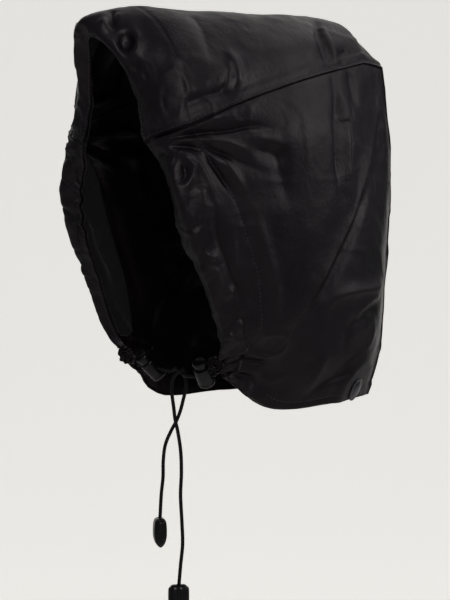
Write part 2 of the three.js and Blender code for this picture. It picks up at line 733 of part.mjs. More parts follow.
for (const side of sides) {
  const flip = (vector) => new THREE.Vector3(vector.x * side.sign, vector.y, vector.z);
  const sheet = side.sign > 0 ? sideSheet : mirroredGrid(sideSheet);
  const seamEdge = side.sign > 0 ? "last" : "first";
  const studFrame = stance(flip(stud.point), flip(stud.normal), flip(stud.alongV));
  const hole = rod(studPostRadius + slideGap, clothWall * 8, 24).applyMatrix4(studFrame.matrix);
  const cloth = toManifold(panelGeometry(sheet, ["top", seamEdge])).subtract(toManifold(hole));
  group.add(piece(`side_panel_${side.name}`, fromManifold(cloth), waxedCotton));

  studFrame.add(piece(`stud_cap_${side.name}`, studCapGeometry(), gunmetal));
  studFrame.add(piece(`stud_socket_${side.name}`, socketGeometry(), gunmetal));
  group.add(studFrame);

  const lock = stance(
    new THREE.Vector3(...side.lockAt),
    new THREE.Vector3(...side.lockAxis),
    new THREE.Vector3(...side.boreAlong),
  );
  lock.add(piece(`lock_body_${side.name}`, lockBodyGeometry(), matteNylon));
  lock.add(piece(`lock_button_${side.name}`, lockButtonGeometry(), matteNylon));
  group.add(lock);

  group.add(piece(`cord_${side.name}`, cordGeometry(side.route), braidedCord));

  const end = new THREE.Group();
  const last = side.route[side.route.length - 1];
  end.position.set(last[0], last[1], last[2] - cordEndLength / 2 + cordEndWall * 2);
  end.rotation.z = THREE.MathUtils.degToRad(side.endTurn);
  end.add(piece(`cord_end_${side.name}_a`, cordEndShell(1), matteNylon));
  end.add(piece(`cord_end_${side.name}_b`, cordEndShell(-1), matteNylon));
  group.add(end);
}

export default group;
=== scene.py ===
import math

import bpy
import numpy as np
from mathutils import Matrix, Vector


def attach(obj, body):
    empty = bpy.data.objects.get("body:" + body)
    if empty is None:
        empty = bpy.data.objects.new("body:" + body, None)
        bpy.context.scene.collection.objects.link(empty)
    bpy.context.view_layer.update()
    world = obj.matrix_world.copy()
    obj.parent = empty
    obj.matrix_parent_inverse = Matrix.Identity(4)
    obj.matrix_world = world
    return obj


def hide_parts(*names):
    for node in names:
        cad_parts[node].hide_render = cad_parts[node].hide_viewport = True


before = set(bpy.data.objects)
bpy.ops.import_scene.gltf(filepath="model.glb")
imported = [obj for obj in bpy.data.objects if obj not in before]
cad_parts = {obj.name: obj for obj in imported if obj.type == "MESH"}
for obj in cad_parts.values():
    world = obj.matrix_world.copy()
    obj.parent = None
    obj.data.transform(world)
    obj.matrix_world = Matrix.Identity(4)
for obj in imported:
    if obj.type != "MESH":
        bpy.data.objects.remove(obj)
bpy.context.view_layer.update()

bpy.ops.object.select_all(action="DESELECT")
print("frame loaded:", len(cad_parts), "nodes")

mm = 0.001


# Camera: the long side of the picture spans 36 mm of sensor
cameraView = {
    "azimuth": 52, "elevation": 3, "distance": 1.8, "centre": (0.0092, 0.0118, -0.2395), "lens": 128.06,
}


def addCamera(view):
    azimuth, elevation = math.radians(view["azimuth"]), math.radians(view["elevation"])
    towards = Vector((
        math.sin(azimuth) * math.cos(elevation),
        -math.cos(azimuth) * math.cos(elevation),
        math.sin(elevation),
    ))
    bpy.ops.object.camera_add(location=Vector(view["centre"]) + towards * view["distance"])
    camera = bpy.context.object
    camera.name = "camera"
    camera.rotation_euler = towards.to_track_quat("Z", "Y").to_euler()
    camera.data.lens = view["lens"]
    camera.data.sensor_width = 36
    camera.data.clip_end = 60
    bpy.context.scene.camera = camera


addCamera(cameraView)
print("camera placed")


# Curves and meshes from arrays
def splineAt(points, places):
    # Centripetal spline through points, read at places counted in points
    points = np.asarray(points, float)
    places = np.asarray(places, float)
    ring = np.concatenate([[2 * points[0] - points[1]], points, [2 * points[-1] - points[-2]]])
    span = np.clip(np.floor(places).astype(int), 0, len(points) - 2)
    ease = (places - span).reshape((-1,) + (1,) * (points.ndim - 1))
    p0, p1, p2, p3 = (ring[span + k] for k in range(4))

    def knot(a, b):
        return np.maximum(np.linalg.norm(b - a, axis=-1, keepdims=True), 1e-9) ** 0.5

    d0, d1, d2 = knot(p0, p1), knot(p1, p2), knot(p2, p3)
    leave = ((p1 - p0) / d0 - (p2 - p0) / (d0 + d1) + (p2 - p1) / d1) * d1
    arrive = ((p2 - p1) / d1 - (p3 - p1) / (d1 + d2) + (p3 - p2) / d2) * d1
    return (
        p1 + leave * ease
        + (3 * (p2 - p1) - 2 * leave - arrive) * ease ** 2
        + (2 * (p1 - p2) + leave + arrive) * ease ** 3
    )


def unit(vectors):
    return vectors / np.maximum(np.linalg.norm(vectors, axis=-1, keepdims=True), 1e-12)


def lengthAlong(points, axis=0):
    # Distance from the first point along one axis of a grid
    steps = np.linalg.norm(np.diff(points, axis=axis), axis=-1)
    first = np.zeros_like(np.take(steps, [0], axis=axis))
    return np.concatenate([first, np.cumsum(steps, axis=axis)], axis=axis)


def smoothStep(value, low, high):
    t = np.clip((value - low) / (high - low), 0, 1)
    return t * t * (3 - 2 * t)


def newMesh(name, vertices, faces, uv=None):
    mesh = bpy.data.meshes.new(name)
    mesh.from_pydata(np.asarray(vertices).tolist(), [], faces if isinstance(faces, list) else faces.tolist())
    if uv is not None:
        layer = mesh.uv_layers.new(name="cut")
        corner = np.zeros(len(mesh.loops), np.int32)
        mesh.loops.foreach_get("vertex_index", corner)
        layer.data.foreach_set("uv", np.asarray(uv, np.float32)[corner].ravel())
    mesh.polygons.foreach_set("use_smooth", np.ones(len(mesh.polygons), bool))
    mesh.update()
    piece = bpy.data.objects.new(name, mesh)
    bpy.context.scene.collection.objects.link(piece)
    return piece


def onlyPiece(piece):
    # Modifiers and edits act on this piece alone
    bpy.ops.object.select_all(action="DESELECT")
    piece.select_set(True)
    bpy.context.view_layer.objects.active = piece


# Drawcord: the same routes as the solid cords, braided from 16 strands, 8 of them each way
cordLook = {
    "diameter": 3 * mm, "eachWay": 8, "strandStep": 1.5 * mm, "relief": 0.14 * mm,
    "ringStep": 0.4 * mm, "around": 24,
}
leftRoute = [
    (63.8, -40, -287), (63.4, -38.3, -290.4), (62.3, -37.8, -293.5), (60.4, -37.9, -295.8),
    (57.6, -38.8, -297.5), (51, -42, -298), (43.6, -46.2, -298.5), (35.5, -48, -299),
    (27, -44, -299.2), (18.6, -36.4, -298.9), (14, -32.8, -298.7), (9.5, -30.8, -297.3),
    (7, -30.2, -295.9), (4.5, -28.8, -295.3), (2, -27.4, -295.9), (-0.5, -26.8, -297.3),
    (-3, -27.4, -298.7), (-5.4, -28.6, -300.3), (-7.4, -29.7, -303), (-8.8, -30.4, -307),
    (-9.3, -30.5, -312), (-8.8, -30.5, -319), (-6.6, -30.5, -329), (-4.6, -30.5, -339),
    (-1.6, -30.2, -348), (2.4, -30, -365), (3.4, -30, -383), (2.2, -30, -402),
    (4, -30, -424), (5, -30, -443), (2.2, -30, -461), (-0.6, -30, -481),
]
rightRoute = [
    (-62.4, -39.4, -288.5), (-61, -38.4, -293), (-56.4, -36, -298), (-49, -32.8, -300.2),
    (-41.1, -30.4, -299.7), (-33, -31.5, -298.5), (-24.9, -32.6, -297.3), (-19.4, -31, -298.2),
    (-14.6, -28, -298.8), (-10.5, -26.8, -297.3), (-8, -27.4, -295.9), (-5.5, -28.8, -295.3),
    (-3, -30.2, -295.9), (-0.5, -30.8, -297.3), (2, -30.2, -298.7), (4.2, -29, -300.3),
    (5.9, -28, -303.1), (6.5, -27.4, -307.4), (5.4, -27, -313), (1.6, -26.6, -322),
    (-2.6, -26.2, -331), (-6.2, -26, -337), (-9.2, -26.6, -342.4), (-12, -28.6, -348.4),
    (-15, -33, -361), (-16, -34.5, -374.5), (-16, -34.8, -388.6), (-17, -35.8, -402),
    (-17.6, -37, -426),
]


def pointsAt(wanted, along, points):
    # Reads a line of points at distances along it
    return np.stack([np.interp(wanted, along, points[:, k]) for k in range(3)], axis=1)


def evenly(points, step):
    along = lengthAlong(points)
    count = int(round(along[-1] / step))
    wanted = np.linspace(0, along[-1], count + 1)
    return pointsAt(wanted, along, points), wanted


def tubeFrames(line):
    # Two directions across the line at each point, carried along without twist
    tangent = unit(np.gradient(line, axis=0))
    side = np.zeros_like(line)
    start = np.cross(tangent[0], (0.3, 0.9, 0.1))
    side[0] = start / np.linalg.norm(start)
    for i in range(1, len(line)):
        carried = side[i - 1] - tangent[i] * np.dot(side[i - 1], tangent[i])
        side[i] = carried / np.linalg.norm(carried)
    return side, np.cross(tangent, side)


def braidedTube(name, route, look):
    coarse = splineAt(np.array(route) * mm, np.linspace(0, len(route) - 1, 60 * len(route)))
    line, along = evenly(coarse, look["ringStep"])
    side, other = tubeFrames(line)
    turn = np.linspace(0, 2 * np.pi, look["around"], endpoint=False)
    lift = (along / (2 * look["strandStep"]))[:, None]
    first = look["eachWay"] * turn[None] / (2 * np.pi) + lift
    second = look["eachWay"] * turn[None] / (2 * np.pi) - lift
    over = (np.floor(first) + np.floor(second)) % 2 == 0
    across = np.where(over, first, second) % 1
    onward = np.where(over, second, first) % 1
    height = (1 - (2 * across - 1) ** 2) * (0.45 + 0.55 * np.sin(np.pi * onward))
    radius = look["diameter"] / 2 + look["relief"] * (height - 0.6)
    rings = line[:, None] + radius[..., None] * (
        np.cos(turn)[None, :, None] * side[:, None] + np.sin(turn)[None, :, None] * other[:, None]
    )
    count, around = len(line), look["around"]
    i, j = np.meshgrid(np.arange(count - 1), np.arange(around), indexing="ij")
    nextJ = (j + 1) % around
    faces = np.stack([
        i * around + j, i * around + nextJ, (i + 1) * around + nextJ, (i + 1) * around + j,
    ], axis=-1).reshape(-1, 4).tolist()
    faces.append(list(range(around))[::-1])
    faces.append([(count - 1) * around + k for k in range(around)])
    uv = np.stack(np.broadcast_arrays(turn[None] / (2 * np.pi), along[:, None] / mm), axis=-1)
    return newMesh(name, rings.reshape(-1, 3), faces, uv.reshape(-1, 2)), line, float(along[-1])


cords = {}
for sideName, route in (("left", leftRoute), ("right", rightRoute)):
    cordPiece, cordLine, cordLength = braidedTube(f"drawcord_{sideName}", route, cordLook)
    cords[sideName] = {"piece": cordPiece, "line": cordLine, "length": cordLength}
    print(f"cord {sideName}: {cordLength * 1000:.1f} mm")


# Cloth: the panels' places as shares of the hood's sizes, the same as the solids'
hoodSize = {"halfWidth": 0.1, "depth": 0.28, "height": 0.33, "wall": 1.6 * mm, "gap": 0.3 * mm}
ridgeColumn = 5
mouthRow = 6
hemRow = 7
sideRows = [
    [(0.43, -0.343, -0.335), (0.64, -0.332, -0.317), (0.81, -0.275, -0.296), (0.86, -0.143, -0.247),
     (0.76, 0.161, -0.172), (0.5, 0.468, -0.12), (0.47, 0.508, -0.122), (0.45, 0.537, -0.125),
     (0.43, 0.566, -0.128)],
    [(0.53, -0.314, -0.393), (0.72, -0.339, -0.381), (0.87, -0.243, -0.359), (0.95, -0.1, -0.338),
     (0.92, 0.179, -0.293), (0.57, 0.475, -0.262), (0.53, 0.511, -0.256), (0.49, 0.556, -0.25),
     (0.45, 0.579, -0.247)],
    [(0.63, -0.307, -0.459), (0.83, -0.332, -0.453), (0.93, -0.171, -0.456), (0.99, -0.036, -0.453),
     (0.98, 0.179, -0.423), (0.76, 0.386, -0.39), (0.66, 0.464, -0.393), (0.57, 0.55, -0.393),
     (0.45, 0.6, -0.393)],
    [(0.665, -0.289, -0.544), (0.88, -0.3, -0.544), (0.96, -0.125, -0.553), (1.01, 0, -0.55),
     (1.01, 0.161, -0.529), (0.9, 0.286, -0.526), (0.8, 0.393, -0.535), (0.67, 0.5, -0.544),
     (0.45, 0.593, -0.55)],
    [(0.725, -0.221, -0.672), (0.88, -0.236, -0.678), (0.95, -0.071, -0.69), (0.99, 0.018, -0.678),
     (1.01, 0.107, -0.653), (0.97, 0.186, -0.644), (0.9, 0.321, -0.678), (0.73, 0.47, -0.702),
     (0.45, 0.575, -0.717)],
    [(0.735, -0.164, -0.799), (0.84, -0.171, -0.811), (0.9, -0.064, -0.805), (0.94, -0.014, -0.787),
     (0.97, 0.043, -0.768), (0.96, 0.089, -0.75), (0.9, 0.257, -0.817), (0.73, 0.43, -0.841),
     (0.45, 0.557, -0.853)],
    [(0.685, -0.139, -0.844), (0.72, -0.157, -0.856), (0.75, -0.107, -0.859), (0.8, -0.071, -0.856),
     (0.84, -0.029, -0.856), (0.87, 0.014, -0.865), (0.86, 0.161, -0.923), (0.75, 0.37, -0.923),
     (0.45, 0.533, -0.925)],
    [(0.625, -0.123, -0.867), (0.615, -0.128, -0.877), (0.61, -0.127, -0.887), (0.61, -0.122, -0.897),
     (0.62, -0.114, -0.907), (0.635, -0.104, -0.917), (0.75, 0.014, -0.988), (0.76, 0.275, -0.99),
     (0.45, 0.504, -0.985)],
]
crownCentre = [
    (0, -0.418, -0.078), (0, -0.455, -0.041), (0, -0.279, 0), (0, -0.143, 0), (0, 0.143, 0),
    (0, 0.455, -0.008), (0, 0.51, -0.038), (0, 0.552, -0.062), (0, 0.585, -0.09),
]
crownCrest = [
    (0.19, -0.375, -0.126), (0.22, -0.424, -0.09), (0.35, -0.282, -0.041), (0.42, -0.139, -0.032),
    (0.38, 0.15, -0.012), (0.26, 0.46, -0.02), (0.25, 0.51, -0.052), (0.23, 0.55, -0.073),
    (0.22, 0.582, -0.095),
]
crownShoulder = [
    (0.325, -0.343, -0.241), (0.44, -0.361, -0.205), (0.65, -0.286, -0.144), (0.73, -0.139, -0.129),
    (0.66, 0.154, -0.08), (0.43, 0.466, -0.07), (0.4, 0.509, -0.09), (0.38, 0.544, -0.102),
    (0.36, 0.574, -0.112),
]
backCentre = [
    (0, 0.585, -0.09), (0, 0.612, -0.232), (0, 0.638, -0.393), (0, 0.626, -0.55), (0, 0.605, -0.717),
    (0, 0.587, -0.853), (0, 0.56, -0.925), (0, 0.53, -0.985),
]
backBetween = [(0.5, 0.22), (0.82, 0.62)]

# How finely each span between columns, rows and crown points is divided
fineness = {
    "columns": [16, 30, 24, 34, 36, 16, 16, 12],
    "rows": [30, 28, 30, 30, 28, 22, 18],
    "across": [18, 14, 14, 14, 14, 18],
}


def placed(shares):
    size = hoodSize
    scale = (size["halfWidth"], size["depth"], size["height"])
    return np.asarray(shares, float) * scale + (0, 0, size["wall"])


def divided(steps):
    return np.concatenate([[0]] + [span + np.arange(1, n + 1) / n for span, n in enumerate(steps)])


columnPlaces = divided(fineness["columns"])
rowPlaces = divided(fineness["rows"])
acrossPlaces = divided(fineness["across"])


def sideSurface(u, v):
    # u counts columns from the face edge, v counts rows from the crown seam; the ridge is a crease
    rows = np.moveaxis(placed(sideRows), 1, 0)
    u = np.atleast_1d(u)
    fore = splineAt(rows[: ridgeColumn + 1], u[u <= ridgeColumn])
    aft = splineAt(rows[ridgeColumn:], u[u > ridgeColumn] - ridgeColumn)
    return splineAt(np.moveaxis(np.concatenate([fore, aft]), 0, 1), np.atleast_1d(v))


def acrossPanel(centre, crest, shoulder, seam, t):
    flip = np.array([-1, 1, 1])
    points = np.stack([seam, shoulder, crest, centre, crest * flip, shoulder * flip, seam * flip])
    return np.moveaxis(splineAt(points, t), 0, 1)


def crownSurface(u, t):
    centre, crest, shoulder = (splineAt(placed(row), u) for row in (crownCentre, crownCrest, crownShoulder))
    return acrossPanel(centre, crest, shoulder, sideSurface(u, 0)[0], t)


def backSurface(v, t):
    seam = sideSurface(hemRow + 1, v)[:, 0]
    centre = splineAt(placed(backCentre), v)
    away = seam - centre
    between = [
        np.column_stack([seam[:, 0] * across, centre[:, 1:] + away[:, 1:] * ease])
        for across, ease in backBetween
    ]
    return acrossPanel(centre, between[0], between[1], seam, t)


def gridNormals(grid):
    return unit(np.cross(np.gradient(grid, axis=0), np.gradient(grid, axis=1)))


def joinNormals(left, right, crown):
    # Neighbouring panels share their normals along the crown seam and the back seams
    top = len(columnPlaces)
    for panel, column, back in ((left, 0, -1), (right, -1, 0)):
        row = panel[0] if panel is left else panel[0][::-1]
        shared = unit(row + crown[:top, column])
        down = unit(panel[1:, back] + crown[top:, column])
        crown[:top, column] = shared
        crown[top:, column] = down
        panel[0] = shared if panel is left else shared[::-1]
        panel[1:, back] = down


baseLeft = sideSurface(columnPlaces, rowPlaces)
baseRight = (baseLeft * (-1, 1, 1))[:, ::-1]
baseCrown = np.concatenate([
    crownSurface(columnPlaces, acrossPlaces), backSurface(rowPlaces[1:], acrossPlaces),
])
baseNormals = [gridNormals(grid) for grid in (baseLeft, baseRight, baseCrown)]
joinNormals(*baseNormals)
print("panels drawn:", baseLeft.shape, baseCrown.shape)


# Folds of the worn hood in millimetres: a line of places, height (dents below 0) and half width.
# "soft" is round, "crisp" is creased, "lean" is steep on one side and long on the other.
folds = [
    # brim
    ("brimPleat", "lean", -4.4, 2.6, [
        (4, -100, -3), (11, -105, -7.5), (17.7, -110, -14.2), (22.6, -112, -22.6)]),
    ("brimRoll", "soft", 3.2, 4, [(1, -109, -8), (8, -113, -12), (15, -116, -16), (19, -116, -23)]),
    ("brimOuterRoll", "crisp", 2.4, 3, [(10, -99, -4), (18, -104, -9.5), (24, -107, -16)]),
    ("brimPuckerUpper", "crisp", 3, 1.6, [
        (5, -123, -20), (8.8, -122.8, -19.1), (13.1, -119.9, -16.8), (15.9, -114.1, -14.3)]),
    ("brimPuckerLower", "crisp", 3, 1.6, [
        (7, -121, -24), (11.9, -120.1, -22.3), (16.9, -117.7, -20.1), (19, -113.3, -18.4)]),
    ("brimPuckerShade", "crisp", -3, 1.5, [(8, -122, -21.5), (13, -119, -19), (17, -114, -16.5)]),
    ("dimpleRim", "crisp", 2.4, 2, [
        (30, -97, -18.5), (32.2, -98.3, -21.7), (37, -98.1, -28), (39.5, -101, -36), (37, -105.6, -42),
        (33.8, -109.2, -42.5)]),
    ("browDent", "soft", -1.5, 5, [(36, -106.9, -50), (44.8, -99.6, -47.7)]),
    # crown
    ("creaseFront", "lean", -1.8, 5, [(30, -42, -4), (58.8, -48.4, -26.6), (72.6, -54.9, -49.8)]),
    ("swagShade", "lean", -3.6, 3.6, [
        (72, -38, -43), (78.5, -40.3, -59.1), (80.6, -47, -67.3), (80.3, -58.8, -71.6),
        (78.1, -71.1, -75), (73.8, -81.7, -80.6), (67.5, -88.8, -86.1)]),
    ("swagLight", "crisp", 2.2, 2.2, [
        (67.7, -89, -87.7), (74.5, -81.2, -82.2), (79.1, -70.9, -78.9), (81.9, -58.1, -76.3),
        (82.3, -48.4, -72.9)]),
    ("swagOuter", "soft", 2.4, 5, [
        (66, -30, -33), (72.9, -30.8, -42.6), (78.4, -31.1, -55.6), (82.1, -37.1, -68.7)]),
    ("rearCrease", "lean", -3.4, 3.6, [
        (19, 98, 0), (40, 84, -9), (57.9, 72.6, -21.4), (65.1, 75.3, -40), (64.7, 82, -47)]),
    ("rearRoll", "soft", 2.4, 4, [(35, 96, -5), (52, 86, -17), (60, 88, -33), (62, 92, -44)]),
    ("rearPleat", "crisp", -1.8, 2, [(59.8, 97.7, -42.3), (56.1, 102, -32.7), (52, 112.3, -28.7)]),
    ("rearTuck", "crisp", -1.6, 2, [(56.1, 95.3, -27.9), (57.6, 98.5, -34.6)]),
    # flank below the crown seam
    ("flankValley", "lean", -3.2, 4.5, [
        (67.1, 78, -51.6), (75.2, 73.3, -72), (86.9, 64.4, -93.2), (92.9, 62.5, -122.1),
        (95.8, 62.2, -150.9)]),
    ("flankRoll", "soft", 3.2, 7, [
        (64, 92, -52), (72, 85, -74), (79.9, 83.7, -92.7), (86, 80, -121.9), (88.5, 78, -151),
        (91, 76, -172)]),
    ("flankShadow", "soft", -2, 6, [(56.9, 108, -41.8), (63, 106, -64), (67.6, 106.7, -81)]),
    ("flankTuck", "crisp", -2, 2, [(83.9, 65.8, -86.5), (82.5, 76.9, -92), (77, 89, -89.5)]),
    ("flankTuckRear", "crisp", -1.5, 2, [(67.7, 94.2, -68.7), (71, 99, -81.2), (74.6, 95, -89.8)]),
    ("tensionRidge", "lean", 3.2, 4.4, [
        (84, -3, -284), (90.8, 7.9, -270), (96.5, 16.8, -250.7), (98.4, 32.2, -229.9),
        (97.5, 52.3, -206), (92.4, 73, -180), (86.2, 89.4, -159.4), (76.1, 108.3, -133),
        (66, 124.5, -113), (57, 137, -96), (50, 148, -76)]),
    ("ridgeShade", "soft", -3.4, 6, [
        (70, 128, -128), (83, 107, -153), (93, 83, -184), (98, 62, -209), (99, 42, -234),
        (97, 26, -256)]),
    # gathers that fan out from the temple
    ("fanUpper", "crisp", 4, 3.2, [
        (62, -95, -106), (70, -91, -104), (76.7, -83.9, -100.4), (82.9, -70.8, -94.8), (87.5, -50, -87)]),
    ("fanUpperShade", "lean", -4, 3, [
        (64, -94.5, -108), (73, -89, -106), (82.7, -74.7, -102.7), (89.6, -50, -100.1),
        (93.2, -23.4, -95.7), (97, 2, -98)]),
    ("fanMiddle", "crisp", 3.6, 3.4, [
        (63, -95.3, -110), (75.7, -87.1, -109), (83.2, -75, -107.4), (90.3, -54.6, -108.8),
        (95.8, -30.6, -115)]),
    ("fanMiddleShade", "crisp", -2.8, 2.2, [
        (70, -92.5, -112), (74.3, -90, -112.2), (81.7, -79.8, -113), (86.2, -70.3, -116.1)]),
    ("fanSplit", "crisp", -3.8, 2.6, [
        (82, -76, -104), (87, -67, -112.9), (90.7, -55.9, -117.6), (96.2, -41.1, -123.8),
        (98.5, -22, -131)]),
    ("fanLower", "crisp", 3.4, 3.4, [
        (72, -91, -115), (79.9, -84.4, -117.7), (83.5, -78.2, -120.8), (86.4, -73.5, -129.5),
        (89.1, -69.6, -140.5), (92.4, -62.2, -157.8)]),
    ("fanLowerShade", "crisp", -3.6, 2.4, [
        (85, -72, -113), (89.4, -62.9, -127.1), (91.3, -55.3, -137.3), (95.6, -48.7, -147.6),
        (97, -42, -158)]),
    ("fanOuter", "soft", 2.4, 4.5, [(88, -58, -118), (93, -47, -133), (97, -36, -152)]),
    ("fanLoop", "crisp", 3.8, 2.2, [
        (78, -87, -119), (84, -79.6, -127.1), (85.4, -81.7, -136.6), (83, -87.5, -145.2),
        (77, -92.4, -149.1)]),
    ("fanLoopShade", "crisp", -2.6, 1.8, [(80, -86, -124), (84, -85.5, -135.8), (80, -92.1, -143.6)]),
    ("fanBand", "soft", 1.8, 7, [(98, 1.7, -112), (96, -18, -105), (92.8, -38.3, -103.9)]),
    ("fanBandShade", "soft", -1.8, 7, [(98, 12, -120), (98, -10, -117), (95, -30, -113)]),
    ("templeFirst", "crisp", 2, 2, [(44, -97, -95.5), (58.2, -96.7, -92.3), (65.5, -93.2, -94.8)]),
    ("templeSecond", "crisp", -2, 2, [(50, -97, -101), (62, -95.5, -98.5), (70, -90, -101)]),
    ("templeThird", "crisp", 1.8, 2, [(54, -96, -113), (66.9, -95.3, -112.1), (73.9, -91.7, -115.3)]),
    ("templeFourth", "crisp", -1.8, 2, [(56.9, -95, -118), (70.2, -94.8, -119.5), (76, -90, -122)]),
    # casing and the cloth beside it
    ("casingPuffTop", "soft", 2.4, 5, [(88.2, -75.9, -142), (90.4, -75.6, -153), (93.2, -72.8, -165.6)]),
    ("casingLongFold", "crisp", -2.6, 3, [
        (92.2, -64.1, -158.6), (94.6, -60, -186.2), (94.3, -47.6, -214.2), (92.9, -35.4, -238.5)]),
    ("casingSpotUpper", "crisp", 2.6, 2.4, [(93, -69.6, -196.3), (93.6, -65.1, -203.5)]),
    ("casingSpotMiddle", "crisp", 2.8, 2.6, [(93.7, -50.2, -225.3), (93.4, -44.9, -231)]),
    ("casingSpotLow", "crisp", 2.6, 2.4, [(91.7, -37.4, -250.5), (89.8, -32.8, -260.4)]),
    ("casingSpotLast", "crisp", 2.8, 2.4, [(88.2, -45.9, -260.8), (86.6, -37.5, -269.2)]),
    ("casingRoll", "crisp", 2.2, 3, [
        (92.9, -66.6, -203.5), (92.7, -62.5, -213.9), (93, -56.7, -225.9), (93, -48.6, -238.1)]),
    ("casingRollLow", "crisp", -2.4, 2.6, [
        (92.5, -38.1, -242.4), (90.2, -30.1, -258.9), (81.9, -19.3, -277.6)]),
    ("sideLongFold", "soft", 1.6, 6, [
        (96.8, -31.3, -154.7), (98.1, -20.1, -186.7), (97.2, -5.8, -227.2), (93.8, 0.1, -259.9)]),
    ("sideUpperFold", "soft", -1.6, 6, [
        (95, -17.6, -98.9), (98.1, -6.7, -114.7), (99.1, -0.3, -134.7), (101, 6.6, -162.9)]),
    # nape and neck
    ("napeFold", "crisp", 3.8, 5, [
        (60, 140, -227), (72, 128, -228), (80.1, 117.7, -229.8), (93, 80.4, -231.6), (96, 60.2, -236),
        (94.8, 52.6, -243), (92.3, 51.5, -254)]),
    ("napeSecond", "crisp", 2, 4, [
        (70, 131, -234), (78.2, 119.5, -237.5), (85.7, 95.9, -248), (84.8, 87.8, -264),
        (84.1, 85.2, -279)]),
    ("napeHollow", "soft", -2.6, 6, [(72, 128, -243), (84, 105, -251), (88, 88, -258), (88, 78, -268)]),
    ("napeThird", "crisp", -1.4, 3, [(91, 70, -253), (87, 78, -267.8), (85.8, 77, -281)]),
    ("hemFold", "lean", -2.4, 4, [
        (79.5, 38.7, -320), (82.9, 52.1, -310.9), (82.7, 76.5, -302.2), (76.5, 106.5, -295.8),
        (61.3, 131.5, -294.6)]),
    ("hemRoll", "crisp", 1.8, 4, [
        (80.2, 34.9, -316), (85.1, 43.7, -305.2), (88.6, 51.5, -288.8), (88.7, 60.1, -275.1)]),
    ("chinUpper", "crisp", 2.8, 2.6, [
        (66, -36, -287.5), (76, -30, -281), (81.5, -24, -278), (85, -8.2, -281.3), (87, 1.9, -282.4)]),
    ("chinUpperShade", "crisp", -3, 2.2, [
        (65.5, -34, -289.5), (74, -25, -285), (80, -12, -286.5), (85, 0, -288)]),
    ("chinMiddle", "crisp", 2.2, 2.2, [
        (65, -33, -291.5), (73, -19, -293.5), (79.1, -8, -297), (82.4, 2, -301)]),
    ("chinMiddleShade", "crisp", -2, 2, [(64, -32, -293.5), (71, -17, -298), (76, -4, -304)]),
    ("chinLower", "crisp", 2.2, 2.6, [(63, -31.5, -294.5), (68.8, -19.3, -304.5), (71.9, -9.2, -313)]),
    ("chinUpright", "crisp", -1.6, 2.6, [(84, -4, -288), (79, -3.6, -301.6), (75, -3.4, -314)]),
]
foldStrength = 1.2
dimple = {"centre": (31.5, -105.2, -30.5), "across": (9, 12), "depth": 5.4}
rosette = {"centre": (66, -35, -289.5), "petals": 9, "height": 1.3, "reach": 9}
gathers = {
    "reach": 13, "depth": 0.9, "pitch": 16, "wander": 3.2, "wanderSize": 26, "strengthSize": 33,
    "creaseDepth": 1.9, "creaseSize": 9, "creaseSharp": 3.2, "creasesOver": (26, 44),
}
crumple = {"broad": (55, 1.3), "middle": (21, 0.9), "fine": (8, 0.3)}  # size and height, mm
softCrease = {"size": 30, "sharp": 5, "height": 0.8, "patch": 60}
crispCrease = {"size": 17, "sharp": 2.5, "height": 1.4, "patch": 37, "fadesOver": (45, 90)}
stitchDent = {"depth": 0.45, "halfWidth": 1.3, "pucker": 0.4, "puckerSize": 4.5, "puckerReach": 4}


def latticeNoise(points, size, seed):
    # Smooth noise from -1 to 1, the same each run
    cell = points / size
    base = np.floor(cell).astype(np.int64)
    part = cell - base
    ease = part * part * (3 - 2 * part)
    total = np.zeros(points.shape[:-1])
    for corner in np.ndindex(2, 2, 2):
        at = base + corner
        key = at[..., 0] * 374761393 + at[..., 1] * 668265263 + at[..., 2] * 2147483647 + seed * 974711
        key = (key ^ (key >> 13)) * 1274126177
        value = ((key ^ (key >> 16)) & 0xFFFF) / 32767.5 - 1
        weight = np.prod(np.where(np.array(corner) == 1, ease, 1 - ease), axis=-1)
        total += value * weight
    return total


def nearLine(points, line):
    # Distance to a line of places, which side of it a point is on, and the place along it from 0 to 1
    best = np.full(points.shape[:-1], 1e9)
    along = np.zeros_like(best)
    offset = np.zeros(points.shape)
    heading = np.zeros(points.shape)
    lengths = lengthAlong(line)
    for k in range(len(line) - 1):
        step = line[k + 1] - line[k]
        t = np.clip(((points - line[k]) @ step) / (step @ step), 0, 1)
        away = points - (line[k] + t[..., None] * step)
        distance = np.linalg.norm(away, axis=-1)
        nearer = distance < best
        best = np.where(nearer, distance, best)
        along = np.where(nearer, (lengths[k] + t * (lengths[k + 1] - lengths[k])) / lengths[-1], along)
        offset = np.where(nearer[..., None], away, offset)
        heading = np.where(nearer[..., None], step, heading)
    return best, offset, heading, along


